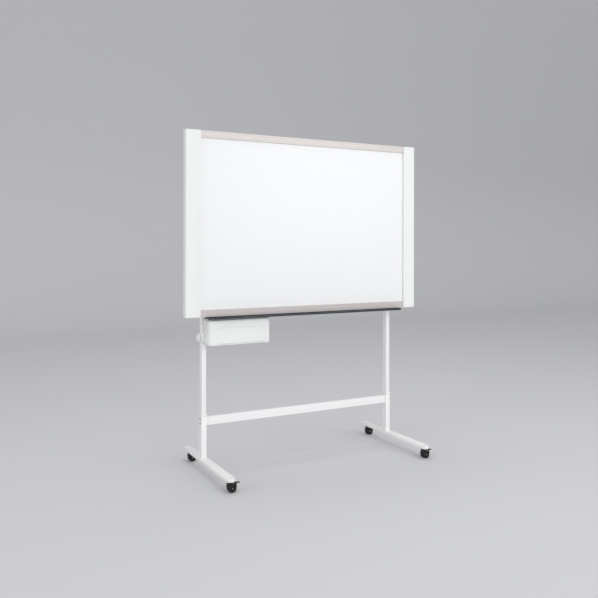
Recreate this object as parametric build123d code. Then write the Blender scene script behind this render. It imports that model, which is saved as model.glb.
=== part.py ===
"""Copyboard: an electronic whiteboard with a scrolling sheet, on a castered stand.

Millimetres, +Z up, +X right and +Y back. The origin is on the floor, midway
between the two feet along X and midway along the feet in Y.
"""
import os
from math import cos, pi, sin

from build123d import *

os.makedirs("parts", exist_ok=True)

# Board
board_width = 1465.0
board_height = 974.0
board_depth = 40.0
board_bottom = 838.0
cover_width = 82.5
rail_height = 37.5
shell_wall = 2.5
rail_setback = 3.0
sheet_setback = 10.0
sheet_thickness = 0.4
lip_gap = 0.4
rail_lip_height = 18.0
cover_corner = 8.0
cover_rear_corner = 4.0

# Scroll rollers and their drive
roller_radius = 11.0
roller_inset = 37.5
journal_radius = 4.0
bush_wall = 2.0
running_gap = 0.05
body_gap = 0.3
overlap = 0.5
block_height = 15.5
block_reach = 50.0
block_overhang = 17.0
sheet_end_margin = 4.0
panel_inset = 19.0
gear_module = 1.0
gear_teeth = 28
pinion_teeth = 17
gear_backlash = 0.15
gear_width = 8.0
gear_lift = 2.0
motor_radius = 9.5
motor_length = 42.0
back_panel_thickness = 0.6
core_skin = 1.5
core_rib = 1.2
core_cells = 30

# Stand
foot_length = 650.0
foot_reach = 295.0
foot_width = 47.0
foot_thickness = 18.0
foot_bottom = 59.0
foot_wall = 2.0
foot_edge = 4.0
cap_plug = 8.0
cap_lid = 3.0
plug_gap = 0.1
post_spacing = 1195.0
post_width = 25.0
post_depth = 34.0
post_wall = 1.6
post_bottom = 120.0
post_top = 1520.0
post_standoff = 49.5
slide_gap = 0.3
lower_wall = 1.7
lower_top = 306.0
collar_wall = 2.0
collar_skirt = 9.0
collar_rim = 6.0
bar_bottom = 249.0
bar_height = 45.0
bar_depth = 20.0
bar_wall = 1.6
bar_plug = 30.0
bar_screw_length = 16.0
bolt_radius = 3.0
bolt_head_radius = 5.0
bolt_head_height = 4.0
lock_spacing = 24.0

# Rear rails and brackets that carry the board on the posts
rear_rail_depth = 24.0
rear_rail_height = 40.0
rear_rail_wall = 2.0
rear_rail_levels = (1000.0, 1480.0)
rear_rail_length = 1280.0
bracket_width = 44.0
bracket_height = 36.0
bracket_wall = 3.0
hanging_spacing = 800.0
hanging_radius = 3.3

# Casters
caster_inset = 40.0
stem_radius = 4.0
socket_radius = 7.0
trail = 14.0
wheel_radius = 21.0
wheel_width = 13.0
web_thickness = 5.0
wheel_side_gap = 0.8
hood_gap = 1.0
hood_wall = 1.8
hood_margin = 0.6
hood_skirt = 6.0
hood_ear = 3.5
hood_ear_wall = 3.0
neck_radius = 11.0
axle_radius = 2.5
lever_length = 26.0
lever_width = 15.0
lever_thickness = 3.0
lever_pin = 1.4
lever_setback = 4.0
lever_drop = 1.0
lever_heel = 3.0
lever_corner = 2.0
lever_gap = 0.4
wheel_edge = 1.5
wheel_dish = 3.0
wheel_rim = 5.0
wheel_hub = 4.0

# Pen tray
tray_width = 1234.0
tray_reach = 38.0
tray_height = 11.0
tray_wall = 2.0
tray_lip_drop = 1.0
tray_back = 36.0
tray_corner = 25.0
tray_screw_x = (200.0, 560.0)
small_screw = 1.5
small_head = 3.0
small_head_height = 1.8
small_screw_grip = 8.0
tray_screw = 2.0
tray_screw_head = 3.5
tray_boss = 5.0
tray_screw_grip = 3.0

# Controls and power on the right cover's outer side
panel_level = 1252.0
bezel_width = 20.0
bezel_height = 76.0
bezel_flange = 2.0
bezel_recess = 1.0
button_radius = 4.3
button_pitch = 16.0
button_length = 10.5
button_travel = 0.8
inlet_level = 948.0
inlet_width = 20.0
inlet_height = 26.0
inlet_depth = 20.0
socket_width = 8.0
socket_height = 15.0
socket_depth = 12.0
switch_level = 984.0
switch_width = 14.0
switch_height = 24.0
rocker_width = 9.0
rocker_height = 15.0
rocker_pin = 1.5
rocker_depth = 7.0

# Printer under the board's left end
printer_left = -603.0
printer_right = -243.0
printer_bottom = 683.5
printer_top = 818.0
printer_setback = 5.0
printer_wall = 2.5
printer_corner = 22.0
printer_edge = 6.0
door_left = -549.0
door_right = -275.0
door_bottom = 690.5
door_top = 776.0
door_gap = 0.4
hinge_margin = 1.0
hinge_pin = 1.5
hinge_ear = 5.0
paper_setback = 50.0
paper_lift = 36.5
platen_setback = 15.0
platen_drop = 4.0
chassis_left = -533.0
chassis_right = -291.0
chassis_wall = 3.0
chassis_base = 2.0
paper_radius = 26.0
paper_width = 216.0
paper_shaft = 5.0
platen_radius = 8.0
platen_shaft = 3.0
clamp_height = 44.0
clamp_level = 719.0
clamp_wall = 5.0
knob_radius = 19.0
knob_thickness = 13.0
knob_stand = 2.0
knob_grips = 12
grip_radius = 1.6
grip_offset = 0.5
clamp_corner = 3.0
feed_gear_width = 5.0
motor_shaft = 2.0
feed_motor_radius = 12.0
feed_motor_length = 28.0
head_depth = 9.0
head_half_height = 6.0

# Places worked out from the sizes above
front = foot_reach - foot_length / 2
half_width = board_width / 2
board_top = board_bottom + board_height
rail_end = half_width - cover_width
outer_inside = half_width - shell_wall
rocker_pivot_x = half_width - rocker_depth
back = front + board_depth
sheet_front = front + sheet_setback
loop_inner = roller_radius + body_gap
loop_outer = loop_inner + sheet_thickness
roller_y = sheet_front + loop_outer
roller_x = half_width - roller_inset
inner_top = board_top - shell_wall
inner_bottom = board_bottom + shell_wall
block_top = inner_bottom + block_height
block_under = inner_top - block_height
panel_rear = back - shell_wall
gear_bottom = block_top + gear_lift
gear_top = gear_bottom + gear_width
motor_x = roller_x + gear_module * (gear_teeth + pinion_teeth) / 2 + gear_backlash
sheet_bottom = gear_top + sheet_end_margin
sheet_top = block_under - sheet_end_margin
wheel_out = web_thickness / 2 + wheel_side_gap
wheel_far = wheel_out + wheel_width
hood_half = wheel_far + hood_margin
hood_inner = wheel_radius + hood_gap
hood_outer = hood_inner + hood_wall
fork_top = foot_bottom - body_gap
post_x = post_spacing / 2
post_y = back + post_standoff + post_depth / 2
foot_top = foot_bottom + foot_thickness
caster_y = foot_length / 2 - caster_inset
lower_width = post_width + 2 * (slide_gap + lower_wall)
lower_depth = post_depth + 2 * (slide_gap + lower_wall)
bar_top = bar_bottom + bar_height
bar_end = post_x - lower_width / 2
bar_screw_x = bar_end - bar_plug / 2
side_y = (front + back) / 2
tray_bottom = board_bottom - tray_height
printer_front = front + printer_setback
clamp_front = post_y - post_depth / 2 - clamp_wall
printer_back = clamp_front
hinge_radius = printer_wall + hinge_margin
hinge_y = printer_front + hinge_radius
hinge_z = door_bottom + door_gap + hinge_radius
paper_y = printer_front + paper_setback
paper_z = printer_bottom + paper_lift
platen_y = printer_front + platen_setback
platen_z = door_top - platen_drop
sides = (-1, 1)


def span(x0, x1, y0, y1, z0, z1):
    """Return a box between two corners, whichever way round each pair is given."""
    size = (abs(x1 - x0), abs(y1 - y0), abs(z1 - z0))
    return Pos((x0 + x1) / 2, (y0 + y1) / 2, (z0 + z1) / 2) * Box(*size)


def rod_x(radius, x0, x1, y, z):
    """Return a round rod along X."""
    return Pos((x0 + x1) / 2, y, z) * Rot(0, 90, 0) * Cylinder(radius, abs(x1 - x0))


def rod_y(radius, x, y0, y1, z):
    """Return a round rod along Y."""
    return Pos(x, (y0 + y1) / 2, z) * Rot(90, 0, 0) * Cylinder(radius, abs(y1 - y0))


def rod_z(radius, x, y, z0, z1):
    """Return a round rod along Z."""
    return Pos(x, y, (z0 + z1) / 2) * Cylinder(radius, abs(z1 - z0))


def rounded(box, axis, radius, picks=None):
    """Round the edges of a box that run along one axis, or only those that picks accepts."""
    edges = box.edges().filter_by(axis)
    if picks:
        edges = edges.filter_by(picks)
    return fillet(edges, radius)


def mirrored(shape):
    """Return the piece on the right and its twin on the left."""
    return [shape, mirror(shape, about=Plane.YZ)]


def write(name, shapes):
    """Write one sub-part, which may be several separate solids."""
    pieces = shapes if isinstance(shapes, list) else [shapes]
    solids = [solid for piece in pieces for solid in piece.solids()]
    export_step(solids[0] if len(solids) == 1 else Compound(solids), f"parts/{name}.step")


def spur_gear(teeth, width, bore, turn):
    """Return a straight-toothed gear on Z, with slim teeth that leave play in the mesh."""
    pitch = gear_module * teeth / 2
    tip = pitch + 0.9 * gear_module
    root = pitch - 1.2 * gear_module
    step = 2 * pi / teeth
    points = []
    for tooth in range(teeth):
        middle = tooth * step + turn
        for radius, share in ((root, -0.30), (tip, -0.11), (tip, 0.11), (root, 0.30)):
            angle = middle + share * step
            points.append((radius * cos(angle), radius * sin(angle)))
    blank = extrude(make_face(Polyline(*points, close=True)), width)
    return blank - Pos(0, 0, width / 2) * Cylinder(bore, width)


# Feet, end caps and caster sockets
def foot_tube(x):
    """Return one foot: a flat tube along Y with holes for the caster sockets."""
    end = foot_length / 2 - foot_width / 2
    outer = span(x - foot_width / 2, x + foot_width / 2, -end, end, foot_bottom, foot_top)
    outer = rounded(outer, Axis.Y, foot_edge)
    inner = span(
        x - foot_width / 2 + foot_wall, x + foot_width / 2 - foot_wall,
        -end, end, foot_bottom + foot_wall, foot_top - foot_wall,
    )
    tube = outer - rounded(inner, Axis.Y, foot_edge - foot_wall)
    for y in (-caster_y, caster_y):
        tube -= rod_z(socket_radius, x, y, foot_bottom, foot_bottom + foot_wall)
    return tube


def foot_cap(x, way):
    """Return one half-round end cap with a plug that enters the foot tube."""
    end = foot_length / 2 - foot_width / 2
    cap = rod_z(foot_width / 2, x, way * end, foot_bottom, foot_top)
    cap &= span(
        x - foot_width / 2, x + foot_width / 2,
        way * end, way * foot_length / 2, foot_bottom, foot_top,
    )
    cap = fillet(cap.edges().filter_by(GeomType.CIRCLE), foot_edge)
    plug = span(
        x - foot_width / 2 + foot_wall + plug_gap, x + foot_width / 2 - foot_wall - plug_gap,
        way * (end - cap_plug), way * end,
        foot_bottom + foot_wall + plug_gap, foot_top - foot_wall - plug_gap,
    )
    return cap + rounded(plug, Axis.Y, foot_edge - foot_wall)


def caster_socket(x, y):
    """Return the sleeve in the foot that takes a caster's stem."""
    sleeve = rod_z(socket_radius, x, y, foot_bottom, foot_top - foot_wall)
    return sleeve - rod_z(stem_radius + running_gap, x, y, foot_bottom, foot_top - foot_wall)


# Posts
def rectangular_tube(x, y, width, depth, wall, z0, z1):
    """Return an upright rectangular tube centred on x, y."""
    outer = span(x - width / 2, x + width / 2, y - depth / 2, y + depth / 2, z0, z1)
    inner = span(
        x - width / 2 + wall, x + width / 2 - wall,
        y - depth / 2 + wall, y + depth / 2 - wall, z0, z1,
    )
    return rounded(outer, Axis.Z, wall) - inner


def lower_post(side):
    """Return one lower post, with holes for the lock screws on its outer face."""
    x = side * post_x
    tube = rectangular_tube(
        x, post_y, lower_width, lower_depth, lower_wall, foot_top, lower_top)
    for z in lock_levels():
        tube -= rod_x(bolt_radius, side * (post_x + lower_width / 2),
                      side * (post_x + lower_width / 2 - lower_wall), post_y, z)
    return tube


def lock_levels():
    """Return the heights of the two lock screws on each post."""
    middle = (bar_bottom + bar_top) / 2
    return (middle - lock_spacing / 2, middle + lock_spacing / 2)


def lock_screw(side, z):
    """Return a screw that presses the upper post from the lower post's outer face."""
    face = side * (post_x + lower_width / 2)
    head = rod_x(bolt_head_radius, face, face + side * bolt_head_height, post_y, z)
    shank = rod_x(bolt_radius, face, face - side * lower_wall, post_y, z)
    return head + shank


def collar(side):
    """Return the plastic collar that guides the upper post out of the lower one."""
    x = side * post_x
    width = lower_width + 2 * collar_wall
    depth = lower_depth + 2 * collar_wall
    z0 = lower_top - collar_skirt
    z1 = lower_top + collar_rim
    ring = span(x - width / 2, x + width / 2, post_y - depth / 2, post_y + depth / 2, z0, z1)
    ring = rounded(ring, Axis.Z, collar_wall)
    bore_w = post_width / 2 + slide_gap
    bore_d = post_depth / 2 + slide_gap
    ring -= span(x - bore_w, x + bore_w, post_y - bore_d, post_y + bore_d, z0, z1)
    return ring - span(
        x - lower_width / 2, x + lower_width / 2,
        post_y - lower_depth / 2, post_y + lower_depth / 2, z0, lower_top)


def upper_post(side):
    """Return one upper post, drilled for the bracket bolts."""
    x = side * post_x
    tube = rectangular_tube(x, post_y, post_width, post_depth, post_wall, post_bottom, post_top)
    for z in rear_rail_levels:
        tube -= rod_y(bolt_radius, x, post_y - post_depth, post_y + post_depth, z)
    return tube


def post_cap(side):
    """Return the plastic cap on top of an upper post."""
    x = side * post_x
    lid = span(x - post_width / 2, x + post_width / 2,
               post_y - post_depth / 2, post_y + post_depth / 2, post_top, post_top + cap_lid)
    plug_w = post_width / 2 - post_wall - plug_gap
    plug_d = post_depth / 2 - post_wall - plug_gap
    return lid + span(x - plug_w, x + plug_w, post_y - plug_d, post_y + plug_d,
                      post_top - cap_plug, post_top)


# Crossbar
def crossbar():
    """Return the tube between the lower posts, with screw holes in its underside."""
    outer = span(-bar_end, bar_end, post_y - bar_depth / 2, post_y + bar_depth / 2,
                 bar_bottom, bar_top)
    inner = span(-bar_end, bar_end, post_y - bar_depth / 2 + bar_wall,
                 post_y + bar_depth / 2 - bar_wall, bar_bottom + bar_wall, bar_top - bar_wall)
    tube = rounded(outer, Axis.X, bar_wall) - inner
    for x in (-bar_screw_x, bar_screw_x):
        tube -= rod_z(bolt_radius, x, post_y, bar_bottom, bar_bottom + bar_wall)
    return tube


def bar_plug_block():
    """Return the block on the right post that plugs into the crossbar's end."""
    block = span(bar_end - bar_plug, bar_end,
                 post_y - bar_depth / 2 + bar_wall, post_y + bar_depth / 2 - bar_wall,
                 bar_bottom + bar_wall, bar_top - bar_wall)
    return block - rod_z(bolt_radius, bar_screw_x, post_y, bar_bottom, bar_bottom + bar_screw_length)


def bar_screw():
    """Return the screw that holds the crossbar on its plug block from below."""
    head = rod_z(bolt_head_radius, bar_screw_x, post_y,
                 bar_bottom - bolt_head_height, bar_bottom)
    return head + rod_z(bolt_radius, bar_screw_x, post_y, bar_bottom, bar_bottom + bar_screw_length)


# Casters
def caster_fork(x, y, braked):
    """Return a swivel body: stem, neck, hood over the wheels and web between them."""
    axle_x = x + trail
    stem = rod_z(stem_radius, x, y, fork_top, foot_top - foot_wall - 1)
    flange = rod_z(neck_radius + 3, x, y, fork_top - 3, fork_top)
    neck = rod_z(neck_radius, x, y, wheel_radius + 8, fork_top - 3)
    hood = rod_y(hood_outer, axle_x, y - hood_half, y + hood_half, wheel_radius)
    hood &= span(axle_x - hood_outer, axle_x + hood_outer, y - hood_half, y + hood_half,
                 wheel_radius + hood_skirt, wheel_radius + hood_outer)
    shell = neck + hood
    shell -= rod_y(hood_inner, axle_x, y - hood_half, y + hood_half, wheel_radius)
    web = rod_y(hood_inner, axle_x, y - web_thickness / 2, y + web_thickness / 2, wheel_radius)
    web &= span(axle_x - hood_inner, axle_x + hood_inner, y - hood_half, y + hood_half,
                wheel_radius - 7, wheel_radius + hood_inner)
    web -= rod_y(axle_radius + running_gap, axle_x, y - hood_half, y + hood_half, wheel_radius)
    fork = stem + flange + shell + web
    if braked:
        ear_x, ear_z = lever_pivot(x)
        for way in sides:
            inside = lever_width / 2 + lever_gap
            outside = inside + hood_ear_wall
            ear = span(ear_x - hood_ear, ear_x + hood_ear, y + way * inside, y + way * outside,
                       wheel_radius + hood_skirt + 2, ear_z + hood_ear)
            fork += ear - rod_y(hood_inner, axle_x, y - hood_half, y + hood_half, wheel_radius)
            fork -= rod_y(lever_pin + running_gap, ear_x, y + way * inside,
                          y + way * outside, ear_z)
    return fork


def lever_pivot(x):
    """Return the brake lever's hinge place, X and Z, for a caster at x."""
    return x + trail + hood_outer - lever_setback, wheel_radius + hood_outer - lever_drop


def brake_lever(x, y):
    """Return the foot-operated brake lever with its hinge pin."""
    pivot_x, pivot_z = lever_pivot(x)
    heel = pivot_x - lever_heel
    plate = span(heel, heel + lever_length, y - lever_width / 2,
                 y + lever_width / 2, pivot_z - lever_thickness / 2,
                 pivot_z + lever_thickness / 2)
    plate = rounded(plate, Axis.Z, lever_corner)
    pin_half = lever_width / 2 + hood_ear_wall
    return plate + rod_y(lever_pin, pivot_x, y - pin_half, y + pin_half, pivot_z)


def wheel_pair(x, y):
    """Return the two wheels of a caster and the axle they are pressed on."""
    axle_x = x + trail
    solids = [rod_y(axle_radius, axle_x, y - wheel_far, y + wheel_far, wheel_radius)]
    for way in sides:
        near, far = y + way * wheel_out, y + way * wheel_far
        wheel = rod_y(wheel_radius, axle_x, near, far, wheel_radius)
        wheel = fillet(wheel.edges().filter_by(GeomType.CIRCLE), wheel_edge)
        floor = far - way * wheel_dish
        dish = rod_y(wheel_radius - wheel_rim, axle_x, floor, far, wheel_radius)
        hub = rod_y(axle_radius + wheel_hub, axle_x, floor, far, wheel_radius)
        wheel -= dish - hub
        wheel -= rod_y(axle_radius, axle_x, near, far, wheel_radius)
        solids.append(wheel)
    return solids


# Board frame
def rail(top):
    """Return the top or bottom extrusion, seen from the front as a flat band."""
    outer_z = board_top if top else board_bottom
    way = -1 if top else 1
    face_end = outer_z + way * rail_height
    rail_front = front + rail_setback
    body = span(-rail_end, rail_end, rail_front, rail_front + shell_wall, outer_z, face_end)
    body = body + span(-rail_end, rail_end, rail_front, sheet_front - lip_gap,
                       face_end - way * shell_wall, face_end)
    body += span(-rail_end, rail_end, rail_front, back, outer_z, outer_z + way * shell_wall)
    body += span(-rail_end, rail_end, panel_rear, back, outer_z,
                 outer_z + way * rail_lip_height)
    if not top:
        for x, y in tray_screw_places():
            body -= rod_z(tray_screw, x, y, board_bottom, inner_bottom)
    return body


def side_cover(side):
    """Return one end cover: a shell, open towards the sheet behind its front lip."""
    x0, x1 = side * rail_end, side * half_width
    outer = span(x0, x1, front, back, board_bottom, board_top)
    outer = rounded(outer, Axis.Z, cover_corner,
                    lambda edge: abs(edge.center().X) > rail_end + 1
                    and edge.center().Y < side_y)
    outer = rounded(outer, Axis.Z, cover_rear_corner,
                    lambda edge: abs(edge.center().X) > rail_end + 1
                    and edge.center().Y > back - 1)
    inner = span(x0, x1 - side * shell_wall, front + shell_wall, panel_rear,
                 inner_bottom, inner_top)
    inner = rounded(inner, Axis.Z, cover_corner - shell_wall,
                    lambda edge: abs(edge.center().X) > rail_end + 1
                    and edge.center().Y < side_y)
    cover = outer - inner
    cover += span(x0, x0 + side * shell_wall, front, front + rail_setback + shell_wall,
                  board_bottom, board_top)
    cover += span(x0, x0 + side * shell_wall, front, sheet_front - lip_gap,
                  block_top, block_under)
    for x, z in cover_screw_places():
        cover -= rod_y(small_screw, side * x, panel_rear, back, z)
    return cover


def cover_screw_places():
    """Return X and Z of the right cover's rear screws."""
    levels = (inner_bottom + block_height / 2, inner_top - block_height / 2)
    return [(x, z) for x in (rail_end + 14, rail_end + 56) for z in levels]


def cover_screw(x, z):
    """Return a small screw from the cover's back into the corner block."""
    head = rod_y(small_head, x, back, back + small_head_height, z)
    return head + rod_y(small_screw, x, back - shell_wall - small_screw_grip, back, z)


def corner_block(top):
    """Return the right-hand casting that joins a rail to its cover and holds a bush."""
    z0, z1 = (block_under, inner_top) if top else (inner_bottom, block_top)
    block = span(rail_end - block_reach, roller_x + block_overhang,
                 front + rail_setback + shell_wall, panel_rear - back_panel_thickness, z0, z1)
    block -= rod_z(journal_radius + running_gap + bush_wall, roller_x, roller_y, z0, z1)
    for x, z in cover_screw_places():
        block -= rod_y(small_screw, x, back - shell_wall - small_screw_grip, back, z)
    return block


def roller_bush(z0, z1):
    """Return the bearing bush of the right-hand roller in one corner block."""
    sleeve = rod_z(journal_radius + running_gap + bush_wall, roller_x, roller_y, z0, z1)
    return sleeve - rod_z(journal_radius + running_gap, roller_x, roller_y, z0, z1)


def roller(side):
    """Return a scroll roller with its two journals."""
    x = side * roller_x
    drum = rod_z(roller_radius, x, roller_y, gear_top + 2, sheet_top + 1)
    return drum + rod_z(journal_radius, x, roller_y, inner_bottom + 2, inner_top - 2)


def sheet_loop():
    """Return the endless writing sheet that runs round both rollers."""
    outer = SlotCenterToCenter(2 * roller_x, 2 * loop_outer)
    inner = SlotCenterToCenter(2 * roller_x, 2 * loop_inner)
    return Pos(0, roller_y, sheet_bottom) * extrude(outer - inner, sheet_top - sheet_bottom)


def core_panel():
    """Return the ribbed panel between the sheet's front and rear runs, with upright cells."""
    edge = roller_x - panel_inset
    y0, y1 = sheet_front + sheet_thickness, roller_y + loop_inner
    profile = Pos(0, (y0 + y1) / 2) * Rectangle(2 * edge, y1 - y0)
    pitch = (2 * edge - core_rib) / core_cells
    cell = Rectangle(pitch - core_rib, y1 - y0 - 2 * core_skin)
    for index in range(core_cells):
        x = (index - (core_cells - 1) / 2) * pitch
        profile -= Pos(x, (y0 + y1) / 2) * cell
    return Pos(0, 0, block_top) * extrude(profile, block_under - block_top)


def back_panel():
    """Return the sheet-metal back between the rails."""
    edge = rail_end + 10
    return span(-edge, edge, panel_rear - back_panel_thickness, panel_rear,
                inner_bottom, inner_top)


def rear_rail(z):
    """Return one rear tube with its wall-hanging holes."""
    y0, y1 = panel_rear, panel_rear + rear_rail_depth
    half = rear_rail_length / 2
    z0, z1 = z - rear_rail_height / 2, z + rear_rail_height / 2
    wall = rear_rail_wall
    tube = span(-half, half, y0, y1, z0, z1)
    tube -= span(-half, half, y0 + wall, y1 - wall, z0 + wall, z1 - wall)
    for x in (-hanging_spacing / 2, hanging_spacing / 2):
        tube -= rod_y(hanging_radius, x, y1 - wall, y1, z)
    for x in (-post_x, post_x):
        tube -= rod_y(bolt_radius, x, y1 - wall, y1, z)
    return tube


def post_bracket(x, z):
    """Return the spacer that joins a rear tube to a post."""
    y0, y1 = panel_rear + rear_rail_depth, post_y - post_depth / 2
    z0, z1 = z - bracket_height / 2, z + bracket_height / 2
    half = bracket_width / 2
    block = span(x - half, x + half, y0, y1, z0, z1)
    block -= span(x - half + bracket_wall, x + half - bracket_wall,
                  y0 + bracket_wall, y1 - bracket_wall, z0, z1)
    return block - rod_y(bolt_radius, x, y0, y1, z)


def bracket_bolt(x, z):
    """Return the long bolt through a post, its bracket and the rear tube's wall."""
    y0, y1 = panel_rear + rear_rail_depth - rear_rail_wall - 3, post_y + post_depth / 2
    return rod_y(bolt_head_radius, x, y1, y1 + bolt_head_height, z) + rod_y(
        bolt_radius, x, y0, y1, z)


# Pen tray
def tray_screw_places():
    """Return X and Y of the tray's screws."""
    return [(side * x, side_y) for side in sides for x in tray_screw_x]


def pen_tray():
    """Return the trough under the bottom rail, with a low front lip."""
    half = tray_width / 2
    lip = board_bottom - tray_lip_drop
    outer = span(-half, half, front - tray_reach, front + tray_back, tray_bottom, lip)
    outer = rounded(outer, Axis.Z, tray_corner, lambda edge: edge.center().Y < front)
    pocket = span(-half + tray_wall, half - tray_wall, front - tray_reach + tray_wall,
                  front + rail_setback, tray_bottom + tray_wall, lip)
    pocket = rounded(pocket, Axis.Z, tray_corner - tray_wall,
                     lambda edge: edge.center().Y < front - tray_wall)
    hollow = span(-half + tray_wall, half - tray_wall, front + rail_setback + tray_wall,
                  front + tray_back - tray_wall, tray_bottom + tray_wall, lip)
    tray = outer - pocket - hollow
    for y in (front + rail_setback, front + tray_back - tray_wall):
        tray += span(-half, half, y, y + tray_wall, tray_bottom + tray_wall, board_bottom)
    for x, y in tray_screw_places():
        tray += rod_z(tray_boss, x, y, tray_bottom + tray_wall, board_bottom)
        tray -= rod_z(tray_screw, x, y, tray_bottom, board_bottom)
    return tray


def screw_for_tray(x, y):
    """Return a screw that holds the tray up under the bottom rail."""
    head = rod_z(tray_screw_head, x, y, tray_bottom - small_head_height, tray_bottom)
    return head + rod_z(tray_screw, x, y, tray_bottom, inner_bottom + tray_screw_grip)


# Drive motor and its gears
def drive_motor():
    """Return the scroll motor, hung over its pinion on a plate from the corner block."""
    base = gear_top + 1.5
    body = rod_z(motor_radius, motor_x, roller_y, base, base + motor_length)
    body -= rod_z(motor_shaft + running_gap, motor_x, roller_y, base, base + 8)
    left, right = roller_x + block_overhang - 4, half_width - shell_wall
    rear = panel_rear - back_panel_thickness
    wall = span(left, right, roller_y + motor_radius + 1.5, rear, block_top, base)
    wall -= rod_z(gear_module * gear_teeth / 2 + 2, roller_x, roller_y, block_top, base)
    return body + wall + span(left, right, roller_y + motor_radius / 2, rear, base, base + 14)


def motor_pinion():
    """Return the motor's pinion with its shaft, in mesh with the roller's gear."""
    gear = spur_gear(pinion_teeth, gear_width, motor_shaft, pi + pi / pinion_teeth)
    shaft = rod_z(motor_shaft, 0, 0, 0, gear_width + 8)
    return Pos(motor_x, roller_y, gear_bottom) * (gear + shaft)


# Controls, circuit boards and power
def side_opening(width, height, z):
    """Return the cut through the right cover's outer wall."""
    return span(outer_inside, half_width, side_y - width / 2, side_y + width / 2,
                z - height / 2, z + height / 2)


def button_levels():
    """Return the heights of the four buttons."""
    return [panel_level + (index - 1.5) * button_pitch for index in range(4)]


def control_bezel():
    """Return the button frame, held by a flange behind the cover's wall."""
    half_y, half_z = bezel_width / 2 - plug_gap, bezel_height / 2 - plug_gap
    face = span(outer_inside, half_width - bezel_recess, side_y - half_y, side_y + half_y,
                panel_level - half_z, panel_level + half_z)
    flange = span(outer_inside - bezel_flange, outer_inside, side_y - half_y - 2,
                  side_y + half_y + 2, panel_level - half_z - 3, panel_level + half_z + 3)
    bezel = face + flange
    for z in button_levels():
        bezel -= rod_x(button_radius + body_gap, outer_inside - bezel_flange,
                       half_width, side_y, z)
    return bezel


def button(z):
    """Return one round push button with a retaining rim inside the bezel."""
    cap = rod_x(button_radius, half_width - button_length, half_width, side_y, z)
    cap = fillet(cap.faces().sort_by(Axis.X)[-1].edges(), 0.8)
    rim_end = outer_inside - bezel_flange - body_gap
    return cap + rod_x(button_radius + 1.5, rim_end - 1.2, rim_end, side_y, z)


def button_board():
    """Return the switch board behind the buttons, on pillars from the bezel."""
    face = half_width - button_length - button_travel - body_gap
    half_z = bezel_height / 2
    plate = span(face - 5.6, face - 4, side_y - 11, side_y + 11,
                 panel_level - half_z, panel_level + half_z)
    for z in button_levels():
        plate += span(face - 4, face, side_y - 3, side_y + 3, z - 3, z + 3)
    for z in (panel_level - half_z + 3, panel_level + half_z - 3):
        for y in (side_y - 9, side_y + 9):
            plate += rod_x(1.5, face - 4, outer_inside - bezel_flange, y, z)
    return plate


def main_board():
    """Return the control circuit board with its larger components, on pillars."""
    z0, z1 = switch_level + 30, panel_level - bezel_height / 2 - 14
    face = outer_inside - 6
    board = span(face, face + 1.6, side_y - 14, side_y + 14, z0, z1)
    for z in (z0 + 5, z1 - 5):
        for y in (side_y - 9, side_y + 9):
            board += rod_x(2.0, face + 1.6, outer_inside, y, z)
    for index in range(4):
        z = z0 + 18 + index * (z1 - z0 - 36) / 3
        board += span(face - 3 - index, face, side_y - 8, side_y + 8, z - 8, z + 8)
    return board


def power_inlet():
    """Return the mains inlet and the rocker's frame in one moulding."""
    half_y, half_z = inlet_width / 2 - plug_gap, inlet_height / 2 - plug_gap
    body = span(half_width - inlet_depth, half_width - 0.3, side_y - half_y,
                side_y + half_y, inlet_level - half_z, inlet_level + half_z)
    well = span(half_width - socket_depth, half_width, side_y - socket_width / 2,
                side_y + socket_width / 2, inlet_level - socket_height / 2,
                inlet_level + socket_height / 2)
    body -= rounded(well, Axis.X, socket_width / 2 - 0.1)
    for z in (inlet_level - 4.3, inlet_level + 4.3):
        body += rod_x(1.2, half_width - socket_depth, half_width - 3, side_y, z)
    half_y, half_z = switch_width / 2 - plug_gap, switch_height / 2 - plug_gap
    frame = span(half_width - inlet_depth, half_width - 0.3, side_y - half_y,
                 side_y + half_y, switch_level - half_z, switch_level + half_z)
    frame -= span(half_width - 14, half_width, side_y - rocker_width / 2 - 0.5,
                  side_y + rocker_width / 2 + 0.5, switch_level - rocker_height / 2 - 1,
                  switch_level + rocker_height / 2 + 1)
    frame -= rod_y(rocker_pin + running_gap, rocker_pivot_x, side_y - rocker_width / 2 - 2,
                   side_y + rocker_width / 2 + 2, switch_level)
    bridge = span(half_width - inlet_depth, outer_inside - 4, side_y - 4, side_y + 4,
                  inlet_level + inlet_height / 2 - 1, switch_level - switch_height / 2 + 1)
    return body + frame + bridge


def power_rocker():
    """Return the rocker with its pivot pin."""
    half_y, half_z = rocker_width / 2, rocker_height / 2
    key = span(rocker_pivot_x - 3, half_width - 1.6, side_y - half_y, side_y + half_y,
               switch_level - half_z, switch_level + half_z)
    key = rounded(key, Axis.Y, 1.2)
    return key + rod_y(rocker_pin, rocker_pivot_x, side_y - half_y - 2, side_y + half_y + 2,
                       switch_level)


def image_sensor():
    """Return the upright scanning bar behind the left cover's lip."""
    return span(-rail_end - 20, -rail_end - 6, front + shell_wall,
                sheet_front - body_gap, sheet_bottom + 5, sheet_top - 5)


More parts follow.
